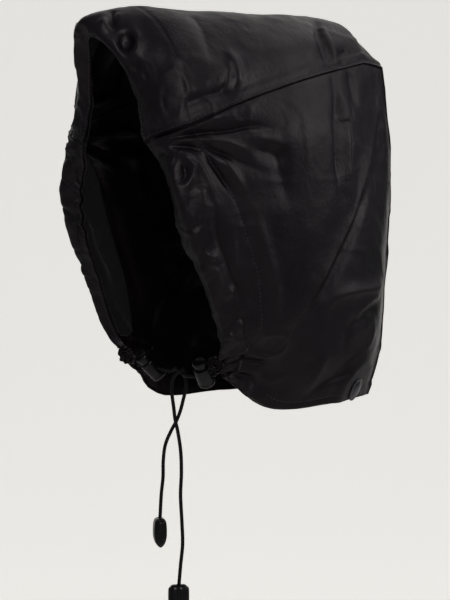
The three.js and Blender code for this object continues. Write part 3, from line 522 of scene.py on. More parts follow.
def foldRise(points, normals):
    # Rise in millimetres; both sides use the same table, mirrored
    oneSide = points / mm * np.where(points[..., :1] < 0, (-1, 1, 1), (1, 1, 1))
    facing = normals * np.where(points[..., :1] < 0, (-1, 1, 1), (1, 1, 1))
    rise = np.zeros(points.shape[:-1])
    for name, kind, height, width, line in folds:
        spans = len(line) - 1
        smooth = splineAt(np.array(line, float), np.linspace(0, spans, 5 * spans + 1))
        away, offset, heading, along = nearLine(oneSide, smooth)
        near = away < 6 * width
        fade = 0.12 + 0.88 * smoothStep(along, 0, 0.3) * smoothStep(1 - along, 0, 0.3)
        if kind == "soft":
            shape = np.exp(-((away / width) ** 2))
        else:
            reach = np.full_like(away, width)
            if kind == "lean":
                turn = np.einsum("...k,...k->...", np.cross(heading, offset), facing)
                reach = np.where(turn > 0, width * 1.5, width * 0.5)
            shape = np.exp(-(np.sqrt(away ** 2 + 0.35) - 0.59) / reach)
            shape = shape * (1 - smoothStep(away, 2.5 * width, 6 * width))
        rise += np.where(near, foldStrength * height * fade * shape, 0)
    start = oneSide - dimple["centre"]
    wide, tall = dimple["across"]
    away = np.sqrt((start[..., 0] ** 2 + start[..., 1] ** 2) / wide ** 2 + start[..., 2] ** 2 / tall ** 2)
    rise -= dimple["depth"] * (1 - smoothStep(away, 0.5, 1))
    start = oneSide - rosette["centre"]
    away = np.linalg.norm(start, axis=-1)
    angle = np.arctan2(start[..., 2], start[..., 1])
    petals = np.cos(rosette["petals"] * angle + away * 0.5)
    return rise + rosette["height"] * petals * np.exp(-away / rosette["reach"]) * smoothStep(away, 1, 4)


def clothRise(points, normals, fromFace, alongFace, fromStitch, seed):
    # Everything that lifts the cloth off its plain form, in metres; distances are in metres
    place = points / mm
    s, edge, stitch = alongFace / mm, fromFace / mm, fromStitch / mm
    rise = foldRise(points, normals)
    for k, (size, height) in enumerate(crumple.values()):
        rise += height * latticeNoise(place * (1, 0.7, 0.8), size, seed + k)
    look = softCrease
    crease = 1 - np.abs(latticeNoise(place * (1, 0.6, 1), look["size"], seed + 7)) * look["sharp"]
    patch = 0.5 + 0.5 * latticeNoise(place, look["patch"], seed + 9)
    rise += look["height"] * np.clip(crease, 0, 1) * patch
    look = crispCrease
    crisp = 1 - np.clip(np.abs(latticeNoise(place, look["size"], seed + 8)) * look["sharp"], 0, 1)
    worked = 0.25 + 0.75 * (1 - smoothStep(edge, *look["fadesOver"]))
    patch = np.clip(0.5 + latticeNoise(place, look["patch"], seed + 10), 0, 1)
    rise += look["height"] * crisp ** 1.5 * worked * patch
    strand = np.stack([s, 0.25 * edge, np.zeros_like(s)], axis=-1)
    wander = gathers["wander"] * latticeNoise(strand, gathers["wanderSize"], seed + 11)
    strength = np.clip(0.6 + 0.9 * latticeNoise(strand, gathers["strengthSize"], seed + 13), 0.1, 1.4)
    scallop = gathers["depth"] * strength * np.cos(2 * np.pi * s / gathers["pitch"] + wander)
    near = np.exp(-edge / gathers["reach"]) * (edge < 4 * gathers["reach"])
    rise += scallop * near
    casing = 1 - smoothStep(edge, *gathers["creasesOver"])
    for k, (stretch, share) in enumerate(((0.5, 1), (0.9, 0.8))):
        size = gathers["creaseSize"] * (1 + 0.7 * k)
        strand = np.stack([s + 0.5 * edge, stretch * edge, np.full_like(s, 9.0 * k)], axis=-1)
        crease = np.abs(latticeNoise(strand, size, seed + 17 + k)) * gathers["creaseSharp"]
        valley = 1 - np.clip(crease, 0, 1)
        rise -= gathers["creaseDepth"] * share * casing * np.clip(strength, 0.25, 1.2) * valley ** 1.5
    look = stitchDent
    pucker = look["pucker"] * strength * latticeNoise(strand * (1, 0.4, 1), look["puckerSize"], seed + 29)
    rise += pucker * np.exp(-np.abs(stitch) / look["puckerReach"])
    return (rise - look["depth"] * np.exp(-((stitch / look["halfWidth"]) ** 2))) * mm


studSetting = {"column": 7.3, "row": 0.942, "seat": 22 * mm}


def studFrame():
    u, v, step = studSetting["column"], studSetting["row"] * hemRow, 0.2
    point = sideSurface(u, v)[0, 0]
    alongU = sideSurface(u + step, v)[0, 0] - sideSurface(u - step, v)[0, 0]
    alongV = sideSurface(u, v + step / 2)[0, 0] - sideSurface(u, v - step / 2)[0, 0]
    return point, unit(np.cross(alongV, alongU)), alongV


studPoint, studNormal, studAlong = studFrame()


def seated(points):
    # A stud holds the cloth round it flat
    flip = np.where(points[..., :1] < 0, (-1, 1, 1), (1, 1, 1))
    start = points * flip - studPoint
    above = start @ studNormal
    away = np.linalg.norm(start - above[..., None] * studNormal, axis=-1)
    hold = 1 - smoothStep(away, studSetting["seat"], studSetting["seat"] * 1.7)
    hold = np.where(np.abs(above) > studSetting["seat"], 0, hold)
    return points - (above * hold)[..., None] * studNormal * flip


stitchColumn = int(np.flatnonzero(columnPlaces == 2)[0])
seamBand = {
    "width": 8.5 * mm, "rise": 0.8 * mm, "tuck": 0.7 * mm, "stitchFromSeam": 3.2 * mm, "hemStitch": 12 * mm,
    "hemDent": 0.4 * mm, "hemDentWidth": 1.4 * mm, "hemFrom": 5.6,
}


def hemDent(grid):
    fromHem = lengthAlong(grid[::-1], 0)[::-1]
    away = (fromHem - seamBand["hemStitch"]) / seamBand["hemDentWidth"]
    return seamBand["hemDent"] * np.exp(-(away ** 2))


def sideCloth(base, normals, flipped, seed):
    order = slice(None, None, -1) if flipped else slice(None)
    turned = base[:, order]
    fromFace = lengthAlong(turned, 1)
    alongFace = np.broadcast_to(lengthAlong(turned[:, 0])[:, None], fromFace.shape)
    fromStitch = fromFace - fromFace[:, [stitchColumn]]
    rise = clothRise(turned, normals[:, order], fromFace, alongFace, fromStitch, seed)
    rise -= hemDent(turned)
    return rise[:, order], -seamBand["tuck"] * np.exp(-((lengthAlong(turned, 0) / (2.2 * mm)) ** 2))[:, order]


def crownCloth(base, normals, seed):
    top = len(columnPlaces)
    edge = base[0]
    fromSeam = lengthAlong(edge)
    alongFace = np.minimum(fromSeam, fromSeam[::-1])
    fromFace = lengthAlong(base, 0)
    fromStitch = fromFace - fromFace[[stitchColumn]]
    fromFace = np.where(np.arange(len(base))[:, None] < top, fromFace, 1)
    alongFace = np.broadcast_to(-alongFace[None], fromFace.shape)
    rise = clothRise(base, normals, fromFace, alongFace, fromStitch, seed)
    across = lengthAlong(base, 1)
    fromSeam = np.minimum(across, across[:, [-1]] - across)
    rise -= hemDent(base)
    band = seamBand["rise"] * (1 - smoothStep(fromSeam, seamBand["width"], seamBand["width"] + 2.5 * mm))
    groove = 0.35 * mm * np.exp(-(((fromSeam - seamBand["stitchFromSeam"]) / (1.1 * mm)) ** 2))
    return rise, band - groove


riseLeft, tuckLeft = sideCloth(baseLeft, baseNormals[0], False, 20)
riseRight, tuckRight = sideCloth(baseRight, baseNormals[1], True, 60)
riseCrown, seamRise = crownCloth(baseCrown, baseNormals[2], 20)
seamReach = 9 * mm


def meetAtSeams(left, right, crown):
    # The panels rise alike where they are sewn together
    top = len(columnPlaces)
    for panel, column, back in ((left, 0, -1), (right, -1, 0)):
        order = slice(None) if panel is left else slice(None, None, -1)
        sewn = (panel[0][order] + crown[:top, column]) / 2
        ease = np.exp(-lengthAlong(baseLeft, 0) / seamReach)[:, order]
        panel += ease * (sewn[order] - panel[0])[None]
        across = lengthAlong(baseCrown[:top] if column == 0 else baseCrown[:top, ::-1], 1)
        reachIn = np.exp(-across / seamReach)
        change = (sewn - crown[:top, column])[:, None] * (reachIn if column == 0 else reachIn[:, ::-1])
        crown[:top] += change
        down = (panel[1:, back] + crown[top:, column]) / 2
        across = lengthAlong(baseCrown[top:] if column == 0 else baseCrown[top:, ::-1], 1)
        reachIn = np.exp(-across / seamReach)
        crown[top:] += (down - crown[top:, column])[:, None] * (reachIn if column == 0 else reachIn[:, ::-1])
        fromBack = lengthAlong(baseLeft[:, ::-1], 1)[:, ::-1]
        reachIn = np.exp(-fromBack / seamReach)[:, order]
        panel[1:] += (down - panel[1:, back])[:, None] * reachIn[1:]


meetAtSeams(riseLeft, riseRight, riseCrown)
sheetLeft = seated(baseLeft + riseLeft[..., None] * baseNormals[0])
sheetRight = seated(baseRight + riseRight[..., None] * baseNormals[1])
sheetCrown = seated(baseCrown + riseCrown[..., None] * baseNormals[2])
sheetNormals = [gridNormals(grid) for grid in (sheetLeft, sheetRight, sheetCrown)]
joinNormals(*sheetNormals)
print("folds pressed in")


# The points on each edge of a grid and the points next to them
whole = slice(None)
gridEdges = {
    "top": ((0, whole), (1, whole)), "first": ((whole, 0), (whole, 1)), "last": ((whole, -1), (whole, -2)),
}


def drawnBack(grid, edges, gap):
    moved = grid.copy()
    for place, inner in (gridEdges[edge] for edge in edges):
        moved[place] = grid[place] + unit(grid[inner] - grid[place]) * gap / 2
    return moved


def setCrest(piece, values):
    layer = piece.data.attributes.new("crest", "FLOAT", "POINT")
    layer.data.foreach_set("value", values.astype(np.float32))


def wallPiece(name, outer, inner, crest, bulge=0.5):
    # A closed wall whose rim is rounded by one row of points between its two faces
    rows, columns = outer.shape[:2]
    index = np.arange(rows * columns).reshape(rows, columns)
    a, b, c, d = index[:-1, :-1], index[1:, :-1], index[1:, 1:], index[:-1, 1:]
    front = np.stack([a, b, c, d], axis=-1).reshape(-1, 4)
    back = front[:, ::-1] + rows * columns
    loop = np.concatenate([index[:-1, 0], index[-1, :-1], index[:0:-1, -1], index[0, :0:-1]])
    inside = np.concatenate([index[:-1, 1], index[-2, :-1], index[:0:-1, -2], index[1, :0:-1]])
    flatOuter, flatInner = outer.reshape(-1, 3), inner.reshape(-1, 3)
    outward = unit(flatOuter[loop] - flatOuter[inside])
    thickness = np.linalg.norm(flatOuter[loop] - flatInner[loop], axis=1, keepdims=True)
    middle = (flatOuter[loop] + flatInner[loop]) / 2 + outward * thickness * bulge
    rim = 2 * rows * columns + np.arange(len(loop))
    after = np.roll(np.arange(len(loop)), -1)
    outerRim = np.stack([loop, rim, rim[after], loop[after]], axis=-1)
    innerRim = np.stack([rim, loop + rows * columns, loop[after] + rows * columns, rim[after]], axis=-1)
    vertices = np.concatenate([flatOuter, flatInner, middle])
    s, t = lengthAlong(outer, 1), lengthAlong(outer, 0)
    flat = np.stack([s, t], axis=-1).reshape(-1, 2)
    uv = np.concatenate([flat, flat, flat[loop]]) / 0.4
    faces = np.concatenate([front, back, outerRim[:, ::-1], innerRim[:, ::-1]])
    piece = newMesh(name, vertices, faces, uv)
    # Fold height kept for the cloth colour: above 0.5 pales raised folds as wax wear, below 0.5 darkens dents
    # and creases as painted shade
    value = np.clip(0.5 + crest.ravel() / (5 * mm), 0, 1)
    setCrest(piece, np.concatenate([value, value, value[loop]]))
    return piece


def clothArea(grid):
    across = np.cross(grid[1:, 1:] - grid[:-1, :-1], grid[1:, :-1] - grid[:-1, 1:])
    return float(np.linalg.norm(across, axis=-1).sum() / 2)


wall, gap = hoodSize["wall"], hoodSize["gap"]
panels = {}
for name, sheet, normals, rise, lift, edges in (
    ("side_left", sheetLeft, sheetNormals[0], riseLeft, tuckLeft, ["top", "last"]),
    ("side_right", sheetRight, sheetNormals[1], riseRight, tuckRight, ["top", "first"]),
    ("crown", sheetCrown, sheetNormals[2], riseCrown, seamRise, ["first", "last"]),
):
    outer = drawnBack(sheet + normals * lift[..., None], edges, gap)
    inner = drawnBack(sheet - normals * wall, edges, gap)
    panels[name] = wallPiece(f"{name}_panel_cloth", outer, inner, rise)
    print(f"{name}: {len(panels[name].data.polygons)} faces, {clothArea(sheet):.4f} m2")


# Where the cord leaves the casing the cloth bunches up round it in rings
ruffle = {
    "radius": 7.4, "hole": 2, "dome": 1.6, "ringStep": 2.3, "ringHeight": 0.8, "folds": 9, "foldHeight": 0.6,
    "depth": 6, "around": 72,
}
mouths = {
    "left": {"at": (64.6, -41.2, -288), "axis": (0.45, -0.75, -0.3), "size": 1},
    "right": {"at": (-62.2, -39.6, -288.3), "axis": (0.25, -0.85, -0.3), "size": 1.15},
}


def ruffledMouth(name, look, mouth):
    hole, radius = look["hole"], look["radius"]
    front = np.linspace(hole, radius, 34)
    rings = np.cos(2 * np.pi * (front - hole) / look["ringStep"])
    dome = look["dome"] * (1 - (front / radius) ** 2) + look["ringHeight"] * rings
    back = np.array([(radius + 0.3, -1.2), (radius - 0.2, -2.8), (radius - 1.4, -4.4), (4.4, -look["depth"]),
                     (3, -look["depth"]), (hole + 0.1, -3.5)])
    r = np.concatenate([front, back[:, 0]])
    h = np.concatenate([dome, back[:, 1]])
    turn = np.linspace(0, 2 * np.pi, look["around"], endpoint=False)
    share = (r / radius)[:, None]
    swirl = np.cos(look["folds"] * turn[None] + 0.9 * r[:, None])
    swirl += 0.6 * np.cos(5 * turn[None] - 0.6 * r[:, None])
    reach = r[:, None] * (1 + 0.05 * share * swirl)
    lift = h[:, None] + look["foldHeight"] * share ** 2 * swirl
    axis = unit(np.array(mouth["axis"]))
    first = unit(np.cross(axis, (0.1, 0.2, 1)))
    second = np.cross(axis, first)
    points = np.array(mouth["at"]) + mouth["size"] * (lift[..., None] * axis + reach[..., None] * (
        np.cos(turn)[None, :, None] * first + np.sin(turn)[None, :, None] * second))
    count, around = len(r), look["around"]
    i, j = np.meshgrid(np.arange(count), np.arange(around), indexing="ij")
    nextI, nextJ = (i + 1) % count, (j + 1) % around
    faces = np.stack([
        i * around + j, nextI * around + j, nextI * around + nextJ, i * around + nextJ,
    ], axis=-1)
    uv = np.stack(np.broadcast_arrays(turn[None] * 5, np.arange(1, count + 1)[:, None] * 0.3), axis=-1) / 400
    piece = newMesh(name, points.reshape(-1, 3) * mm, faces.reshape(-1, 4), uv.reshape(-1, 2))
    setCrest(piece, np.full(count * around, 0.5))
    return piece


for sideName, mouth in mouths.items():
    bunch = ruffledMouth("bunch", ruffle, mouth)
    onlyPiece(panels[f"side_{sideName}"])
    bunch.select_set(True)
    bpy.ops.object.join()


# Facing: the turned-in strip that makes the drawcord's casing
facingLook = {"wall": 1.2 * mm, "tunnel": 2 * mm, "lastRow": 5.5}


def facingPiece(look):
    rows = rowPlaces <= look["lastRow"]
    depth = slice(0, stitchColumn + 1)
    lastRow = int(np.flatnonzero(rows)[-1])

    def strip(left, crown, right):
        return np.concatenate([
            left[lastRow:0:-1, depth],
            np.moveaxis(crown[depth], 0, 1),
            right[1:lastRow + 1, ::-1][:, depth],
        ])

    outer = strip(sheetLeft, sheetCrown, sheetRight)
    normals = strip(*[sheetNormals[k] for k in (0, 2, 1)])
    rise = strip(riseLeft[..., None], riseCrown[..., None], riseRight[..., None])[..., 0]
    u = columnPlaces[depth]
    share = np.where(u <= 1, 2 * u, 3 * u - 1) / 5
    along = lengthAlong(outer[:, 0])
    ends = np.clip(np.minimum(along, along[-1] - along) / (22 * mm), 0, 1)
    tunnel = look["tunnel"] * ends[:, None] * np.sin(np.pi * share)[None]
    depthAt = (wall + gap + tunnel)[..., None]
    near, far = outer - normals * depthAt, outer - normals * (depthAt + look["wall"])
    piece = wallPiece("face_facing_cloth", near[:, ::-1], far[:, ::-1], rise[:, ::-1])
    return piece, clothArea(far)


facing, facingArea = facingPiece(facingLook)
print(f"facing: {len(facing.data.polygons)} faces, {facingArea:.4f} m2")


# Topstitching: one stitch is modelled and copied along each row
stitchLook = {"pitch": 3.6 * mm, "length": 2.5 * mm, "width": 0.8 * mm, "height": 0.7 * mm}


def stitchShape(look):
    bpy.ops.object.select_all(action="DESELECT")
    bpy.ops.mesh.primitive_uv_sphere_add(segments=6, ring_count=5, radius=0.5)
    piece = bpy.context.object
    bpy.ops.object.mode_set(mode="EDIT")
    bpy.ops.mesh.select_all(action="SELECT")
    bpy.ops.transform.rotate(value=math.pi / 2, orient_axis="Y", center_override=(0, 0, 0))
    bpy.ops.transform.resize(value=(look["length"], look["width"], look["height"]), center_override=(0, 0, 0))
    bpy.ops.object.mode_set(mode="OBJECT")
    vertices = np.array([v.co[:] for v in piece.data.vertices])
    faces = [list(face.vertices) for face in piece.data.polygons]
    bpy.data.objects.remove(piece)
    return vertices, faces


stitchVertices, stitchFaces = stitchShape(stitchLook)


def gridAt(grid, i, j):
    # Reads a grid between its points
    i = np.clip(i, 0, grid.shape[0] - 1.001)
    j = np.clip(j, 0, grid.shape[1] - 1.001)
    i0, j0 = np.floor(i).astype(int), np.floor(j).astype(int)
    fi, fj = (i - i0)[:, None], (j - j0)[:, None]
    return (
        grid[i0, j0] * (1 - fi) * (1 - fj) + grid[i0 + 1, j0] * fi * (1 - fj)
        + grid[i0, j0 + 1] * (1 - fi) * fj + grid[i0 + 1, j0 + 1] * fi * fj
    )


def columnsAway(grid, distance, fromLast=False):
    # For each row, the place whose distance from the first or last column is as asked
    along = lengthAlong(grid[:, ::-1] if fromLast else grid, 1)
    place = np.array([np.interp(distance, row, np.arange(len(row))) for row in along])
    return grid.shape[1] - 1 - place if fromLast else place


def rowsAway(grid, distance):
    # For each column, the place whose distance from the last row is as asked
    along = lengthAlong(grid[::-1], 0)
    place = np.array([np.interp(distance, column, np.arange(len(column))) for column in along.T])
    return grid.shape[0] - 1 - place


def stitchRow(grid, normals, i, j, look):
    line, up = gridAt(grid, i, j), gridAt(normals, i, j)
    along = lengthAlong(line)
    at = np.arange(look["pitch"], along[-1] - look["pitch"] / 2, look["pitch"])
    centre = pointsAt(at, along, line)
    lift = unit(pointsAt(at, along, up))
    forward = pointsAt(at + look["pitch"] / 3, along, line) - centre
    forward = unit(forward - lift * np.sum(forward * lift, axis=1, keepdims=True))
    sideways = np.cross(lift, forward)
    frames = np.stack([forward, sideways, lift], axis=1)
    return (centre + lift * look["height"] * 0.12)[:, None] + stitchVertices @ frames


def stitchPiece(name, rows):
    points = np.concatenate(rows)
    count = len(stitchVertices)
    faces = [[v + k * count for v in face] for k in range(len(points)) for face in stitchFaces]
    return newMesh(name, points.reshape(-1, 3), faces)


rowIndex = np.arange(len(rowPlaces), dtype=float)
crownRowIndex = np.arange(len(sheetCrown), dtype=float)
crownOuter = sheetCrown + sheetNormals[2] * seamRise[..., None]
edgeColumn = 2.4 * mm
stitches = {}
for name, sheet, normals, faceLast in (
    ("left", sheetLeft, sheetNormals[0], False), ("right", sheetRight, sheetNormals[1], True),
):
    lastColumn = sheet.shape[1] - 1
    casing = np.full(len(rowIndex), float(lastColumn - stitchColumn if faceLast else stitchColumn))
    used = rowPlaces <= mouthRow
    edge = columnsAway(sheet, edgeColumn, faceLast)
    hem = rowsAway(sheet, seamBand["hemStitch"])
    columns = np.arange(sheet.shape[1], dtype=float)
    onHem = (columnPlaces[::-1] if faceLast else columnPlaces) > seamBand["hemFrom"]
    lines = [
        (rowIndex[used], casing[used]), (rowIndex[used], edge[used]), (hem[onHem], columns[onHem]),
    ]
    stitches[name] = stitchPiece(f"stitching_{name}", [
        stitchRow(sheet, normals, i, j, stitchLook) for i, j in lines
    ])
columns = np.arange(sheetCrown.shape[1], dtype=float)
edgeRow = np.array([
    np.interp(edgeColumn, column, np.arange(len(column))) for column in lengthAlong(sheetCrown, 0).T
])
crownLines = [
    (np.full(len(columns), float(stitchColumn)), columns), (edgeRow, columns),
    (rowsAway(sheetCrown, seamBand["hemStitch"]), columns),
    (crownRowIndex, columnsAway(crownOuter, seamBand["stitchFromSeam"])),
    (crownRowIndex, columnsAway(crownOuter, seamBand["stitchFromSeam"], True)),
]
stitches["crown"] = stitchPiece("stitching_crown", [
    stitchRow(crownOuter, sheetNormals[2], i, j, stitchLook) for i, j in crownLines
])
print("stitches:", sum(len(piece.data.vertices) // len(stitchVertices) for piece in stitches.values()))


# Turned hardware is grown from a disc by extruding and resizing its face
def grownDisc(name, sides, steps):
    # steps are (radius, height) from the first disc on
    bpy.ops.object.select_all(action="DESELECT")
    radius, height = steps[0]
    bpy.ops.mesh.primitive_circle_add(
        vertices=sides, radius=radius, fill_type="NGON", location=(0, 0, height))
    piece = bpy.context.object
    piece.name = name
    bpy.ops.object.transform_apply(location=True, rotation=True, scale=True)
    bpy.ops.object.mode_set(mode="EDIT")
    bpy.ops.mesh.select_all(action="SELECT")
    for nextRadius, nextHeight in steps[1:]:
        bpy.ops.mesh.extrude_region_move(TRANSFORM_OT_translate={"value": (0, 0, nextHeight - height)})
        share = nextRadius / radius
        bpy.ops.transform.resize(value=(share, share, 1), center_override=(0, 0, nextHeight))
        radius, height = nextRadius, nextHeight
    bpy.ops.mesh.select_all(action="SELECT")
    bpy.ops.mesh.normals_make_consistent(inside=False)
    bpy.ops.object.mode_set(mode="OBJECT")
    return piece


def carved(piece, tool):
    cut = piece.modifiers.new("cut", "BOOLEAN")
    cut.object = tool
    cut.operation = "DIFFERENCE"
    cut.solver = "EXACT"
    onlyPiece(piece)
    bpy.ops.object.modifier_apply(modifier=cut.name)
    bpy.data.objects.remove(tool)


def cutAcross(piece, radius, stretch, centre, length):
    # A round or oval hole along X
    bpy.ops.object.select_all(action="DESELECT")
    bpy.ops.mesh.primitive_cylinder_add(vertices=32, radius=radius, depth=length, location=(0, 0, centre))
    cutter = bpy.context.object
    cutter.rotation_euler = (0, math.pi / 2, 0)
    cutter.scale = (stretch, 1, 1)
    bpy.ops.object.transform_apply(location=True, rotation=True, scale=True)
    carved(piece, cutter)


def softened(piece, width, angle=35):
    onlyPiece(piece)
    bevel = piece.modifiers.new("edges", "BEVEL")
    bevel.width = width
    bevel.segments = 2
    bevel.limit_method = "ANGLE"
    bevel.angle_limit = math.radians(angle)
    bpy.ops.object.modifier_apply(modifier=bevel.name)
    bpy.ops.object.shade_smooth_by_angle(angle=math.radians(angle))


def frameOf(origin, axis, along):
    # Local Z is the axis and local X as near as it can be to the other way
    z = Vector(axis).normalized()
    x = Vector(along) - z * Vector(along).dot(z)
    x.normalize()
    y = z.cross(x)
    turn = Matrix((x, y, z)).transposed().to_4x4()
    return Matrix.Translation(Vector(origin)) @ turn


lockLook = {
    "radius": 7, "length": 18, "wall": 1.2, "floor": 2.5, "travel": 4, "capRadius": 6.3, "capHeight": 2.6,
    "slide": 0.3, "bore": 2.1, "sides": 48,
}
lockPlaces = {
    "left": {"at": (51, -42, -298), "axis": (0.25, -0.54, 0.8), "along": (-0.85, -0.45, -0.1)},
    "right": {"at": (-33, -31.5, -298.5), "axis": (-0.2, -0.68, 0.71), "along": (1, 0.1, -0.1)},
}


def lockBody(name, look):
    # Moulded barrel: rounded foot, a parting groove above it, an open mouth and a cross bore
    r, half = look["radius"], look["length"] / 2
    inside = r - look["wall"]
    piece = grownDisc(name, look["sides"], [
        (r - 2.2, -half), (r - 1, -half + 0.35), (r - 0.3, -half + 1.1), (r, -half + 2.2), (r, -half + 3.4),
        (r - 0.35, -half + 3.55), (r - 0.35, -half + 3.95), (r, -half + 4.1), (r, half - 0.8),
        (r - 0.2, half - 0.2), (r - 0.6, half), (inside + 0.15, half), (inside, half - 0.3),
        (inside, -half + look["floor"]),
    ])
    cutAcross(piece, look["bore"], 1, 0, 3 * r)
    return piece


def lockButton(name, look):
    # Plunger with a dished thumb pad; its oval slot clears the cord at both ends of the travel
    half = look["length"] / 2
    inside = look["radius"] - look["wall"] - look["slide"]
    foot = -half + look["floor"] + look["travel"] + look["slide"]
    under = half + look["travel"] + look["slide"]
    top, r = under + look["capHeight"], look["capRadius"]
    piece = grownDisc(name, look["sides"], [
        (inside, foot), (inside, under), (r - 0.25, under), (r, under + 0.35), (r, top - 0.8),
        (r - 0.25, top - 0.25), (r - 0.8, top), (r * 0.72, top), (r * 0.64, top - 0.45),
        (r * 0.4, top - 0.8), (r * 0.15, top - 0.9),
    ])
    stretch = (look["bore"] + look["travel"] / 2) / look["bore"]
    cutAcross(piece, look["bore"], stretch, look["travel"] / 2, 3 * look["radius"])
    return piece


hardware = {}


def keep(piece, matrix, name):
    piece.data.transform(matrix @ Matrix.Scale(mm, 4))
    piece.name = name
    piece.data.name = name
    hardware[name] = piece


for sideName, at in lockPlaces.items():
    matrix = frameOf(Vector(at["at"]) * mm, at["axis"], at["along"])
    body = lockBody("barrel", lockLook)
    softened(body, 0.18)
    keep(body, matrix, f"lock_barrel_{sideName}")
    button = lockButton("button", lockLook)
    softened(button, 0.15)
    keep(button, matrix, f"lock_plunger_{sideName}")
print("cord locks modelled")

studLook = {
    "radius": 10.3, "rise": 2.6, "post": 2.4, "socketRadius": 6.4, "socketHeight": 3, "gap": 0.3, "sides": 64,
}
wallInMm = wall / mm


def studCap(name, look):
    # Spun cap: low dome inside a rolled ring
    r, rise, g = look["radius"], look["rise"], look["gap"]
    low = -wallInMm - 2 * g - look["socketHeight"] * 0.6
    return grownDisc(name, look["sides"], [
        (look["post"], low), (look["post"], g + 0.4), (r * 0.8, g + 0.4), (r * 0.88, g), (r - 0.3, g),
        (r, g + 0.3), (r, rise * 0.3), (r - 0.25, rise * 0.48), (r - 0.9, rise * 0.58),
        (r - 1.7, rise * 0.52), (r - 2.1, rise * 0.46), (r - 2.6, rise * 0.6), (r * 0.6, rise * 0.84),
        (r * 0.4, rise * 0.94), (r * 0.2, rise * 0.99), (r * 0.06, rise),
    ])


def studSocket(name, look):
    top = -wallInMm - 2 * look["gap"]
    bottom = top - look["socketHeight"]
    r, bore = look["socketRadius"], look["post"] + look["gap"]
    piece = grownDisc(name, look["sides"], [
        (bore + 0.02, top), (r - 0.2, top), (r, top - 0.2), (r, bottom + 1), (r - 0.35, bottom + 0.35),
        (r * 0.8, bottom), (bore + 0.4, bottom), (bore, bottom + 0.3), (bore, top - 0.02),
    ])
    onlyPiece(piece)
    bpy.ops.object.mode_set(mode="EDIT")
    bpy.ops.mesh.select_all(action="DESELECT")
    bpy.ops.object.mode_set(mode="OBJECT")
    for face in piece.data.polygons:
        face.select = len(face.vertices) > 4
    bpy.ops.object.mode_set(mode="EDIT")
    bpy.ops.mesh.delete(type="ONLY_FACE")
    bpy.ops.mesh.select_all(action="SELECT")
    bpy.ops.mesh.remove_doubles(threshold=0.05)
    bpy.ops.mesh.normals_make_consistent(inside=False)
    bpy.ops.object.mode_set(mode="OBJECT")
    return piece


for sideName, sign in (("left", 1), ("right", -1)):
    flip = np.array([sign, 1, 1])
    matrix = frameOf(studPoint * flip, studNormal * flip, studAlong * flip)
    for make, kept in ((studCap, "press_stud_cap"), (studSocket, "press_stud_socket")):
        piece = make(kept, studLook)
        softened(piece, 0.08, 50)
        keep(piece, matrix, f"{kept}_{sideName}")
print("press studs modelled")


cordEndLook = {
    "length": 25, "width": 11, "thick": 17.5, "gap": 0.3, "wall": 1.6, "entry": 2.1, "sides": 56,
    # share of the way out and how far the outline has drawn in there
    "layers": [(0.5, 0.05), (0.6, 0.3), (0.72, 0.75), (0.76, 1.3), (0.75, 1.7), (0.84, 1.95), (0.93, 2.4),
               (0.98, 3.1), (1, 3.9)],
}
cordEndTurns = {"left": 68, "right": -28}


def beanOutline(look, inset, count):
    half, wide = look["length"] / 2 - inset, look["width"] / 2 - inset
    corners = [
        [(0, -half), (wide * 0.35, -half * 0.98), (wide * 0.95, -half * 0.7), (wide, -half * 0.1)],
        [(wide, -half * 0.1), (wide, half * 0.75), (wide * 0.95, half), (0, half)],
        [(0, half), (-wide * 0.95, half), (-wide, half * 0.75), (-wide, -half * 0.1)],
        [(-wide, -half * 0.1), (-wide * 0.95, -half * 0.7), (-wide * 0.35, -half * 0.98), (0, -half)],
    ]
    t = np.linspace(0, 1, count // 4, endpoint=False)[:, None]
    return np.concatenate([
        (1 - t) ** 3 * a + 3 * (1 - t) ** 2 * t * b + 3 * (1 - t) * t * t * c + t ** 3 * d
        for a, b, c, d in (np.array(corner, float) for corner in corners)
    ])


def cordEndShell(name, look, sign):
    # One clam shell: a rim round the split, a soft shoulder and a raised oval face
    reach = look["thick"] / 2 - look["gap"] / 2
    bpy.ops.object.select_all(action="DESELECT")
    bpy.ops.mesh.primitive_circle_add(vertices=look["sides"], radius=1, fill_type="NGON")
    piece = bpy.context.object
    outline = beanOutline(look, 0, look["sides"])
    for vertex, (y, z) in zip(piece.data.vertices, outline):
        vertex.co = (look["gap"] / 2, y, z)
    bpy.ops.object.mode_set(mode="EDIT")
    bpy.ops.mesh.select_all(action="SELECT")
    out, inset = look["gap"] / 2, 0
    for share, nextInset in look["layers"]:
        nextOut = look["gap"] / 2 + reach * share
        bpy.ops.mesh.extrude_region_move(TRANSFORM_OT_translate={"value": (nextOut - out, 0, 0)})
        across = (look["width"] / 2 - nextInset) / (look["width"] / 2 - inset)
        tall = (look["length"] / 2 - nextInset) / (look["length"] / 2 - inset)
        bpy.ops.transform.resize(value=(1, across, tall), center_override=(nextOut, 0, 0))
        out, inset = nextOut, nextInset
    bpy.ops.mesh.select_all(action="SELECT")
    bpy.ops.mesh.normals_make_consistent(inside=False)
    bpy.ops.object.mode_set(mode="OBJECT")
    softened(piece, 0.2, 40)
    if sign < 0:
        piece.data.transform(Matrix.Rotation(math.pi, 4, "Z"))
    return piece


def hollowed(piece, look, sign):
    # The inside that the cord's knot fills, and the way in for the cord
    bpy.ops.object.select_all(action="DESELECT")
    bpy.ops.mesh.primitive_cube_add(size=1)
    cutter = bpy.context.object
    depth = look["thick"] / 2 * 0.62
    across, tall = (look[key] - 2 * look["wall"] for key in ("width", "length"))
    cutter.scale = (depth + 1, across - 0.6, tall - 2.4)
    cutter.location = (sign * (depth - 1) / 2, 0, 0)
    bpy.ops.object.transform_apply(location=True, rotation=True, scale=True)
    softened(cutter, 1.6, 30)
    bpy.ops.mesh.primitive_cylinder_add(
        vertices=32, radius=look["entry"], depth=look["length"], location=(0, 0, look["length"] / 2))
    entry = bpy.context.object
    for tool in (cutter, entry):
        carved(piece, tool)


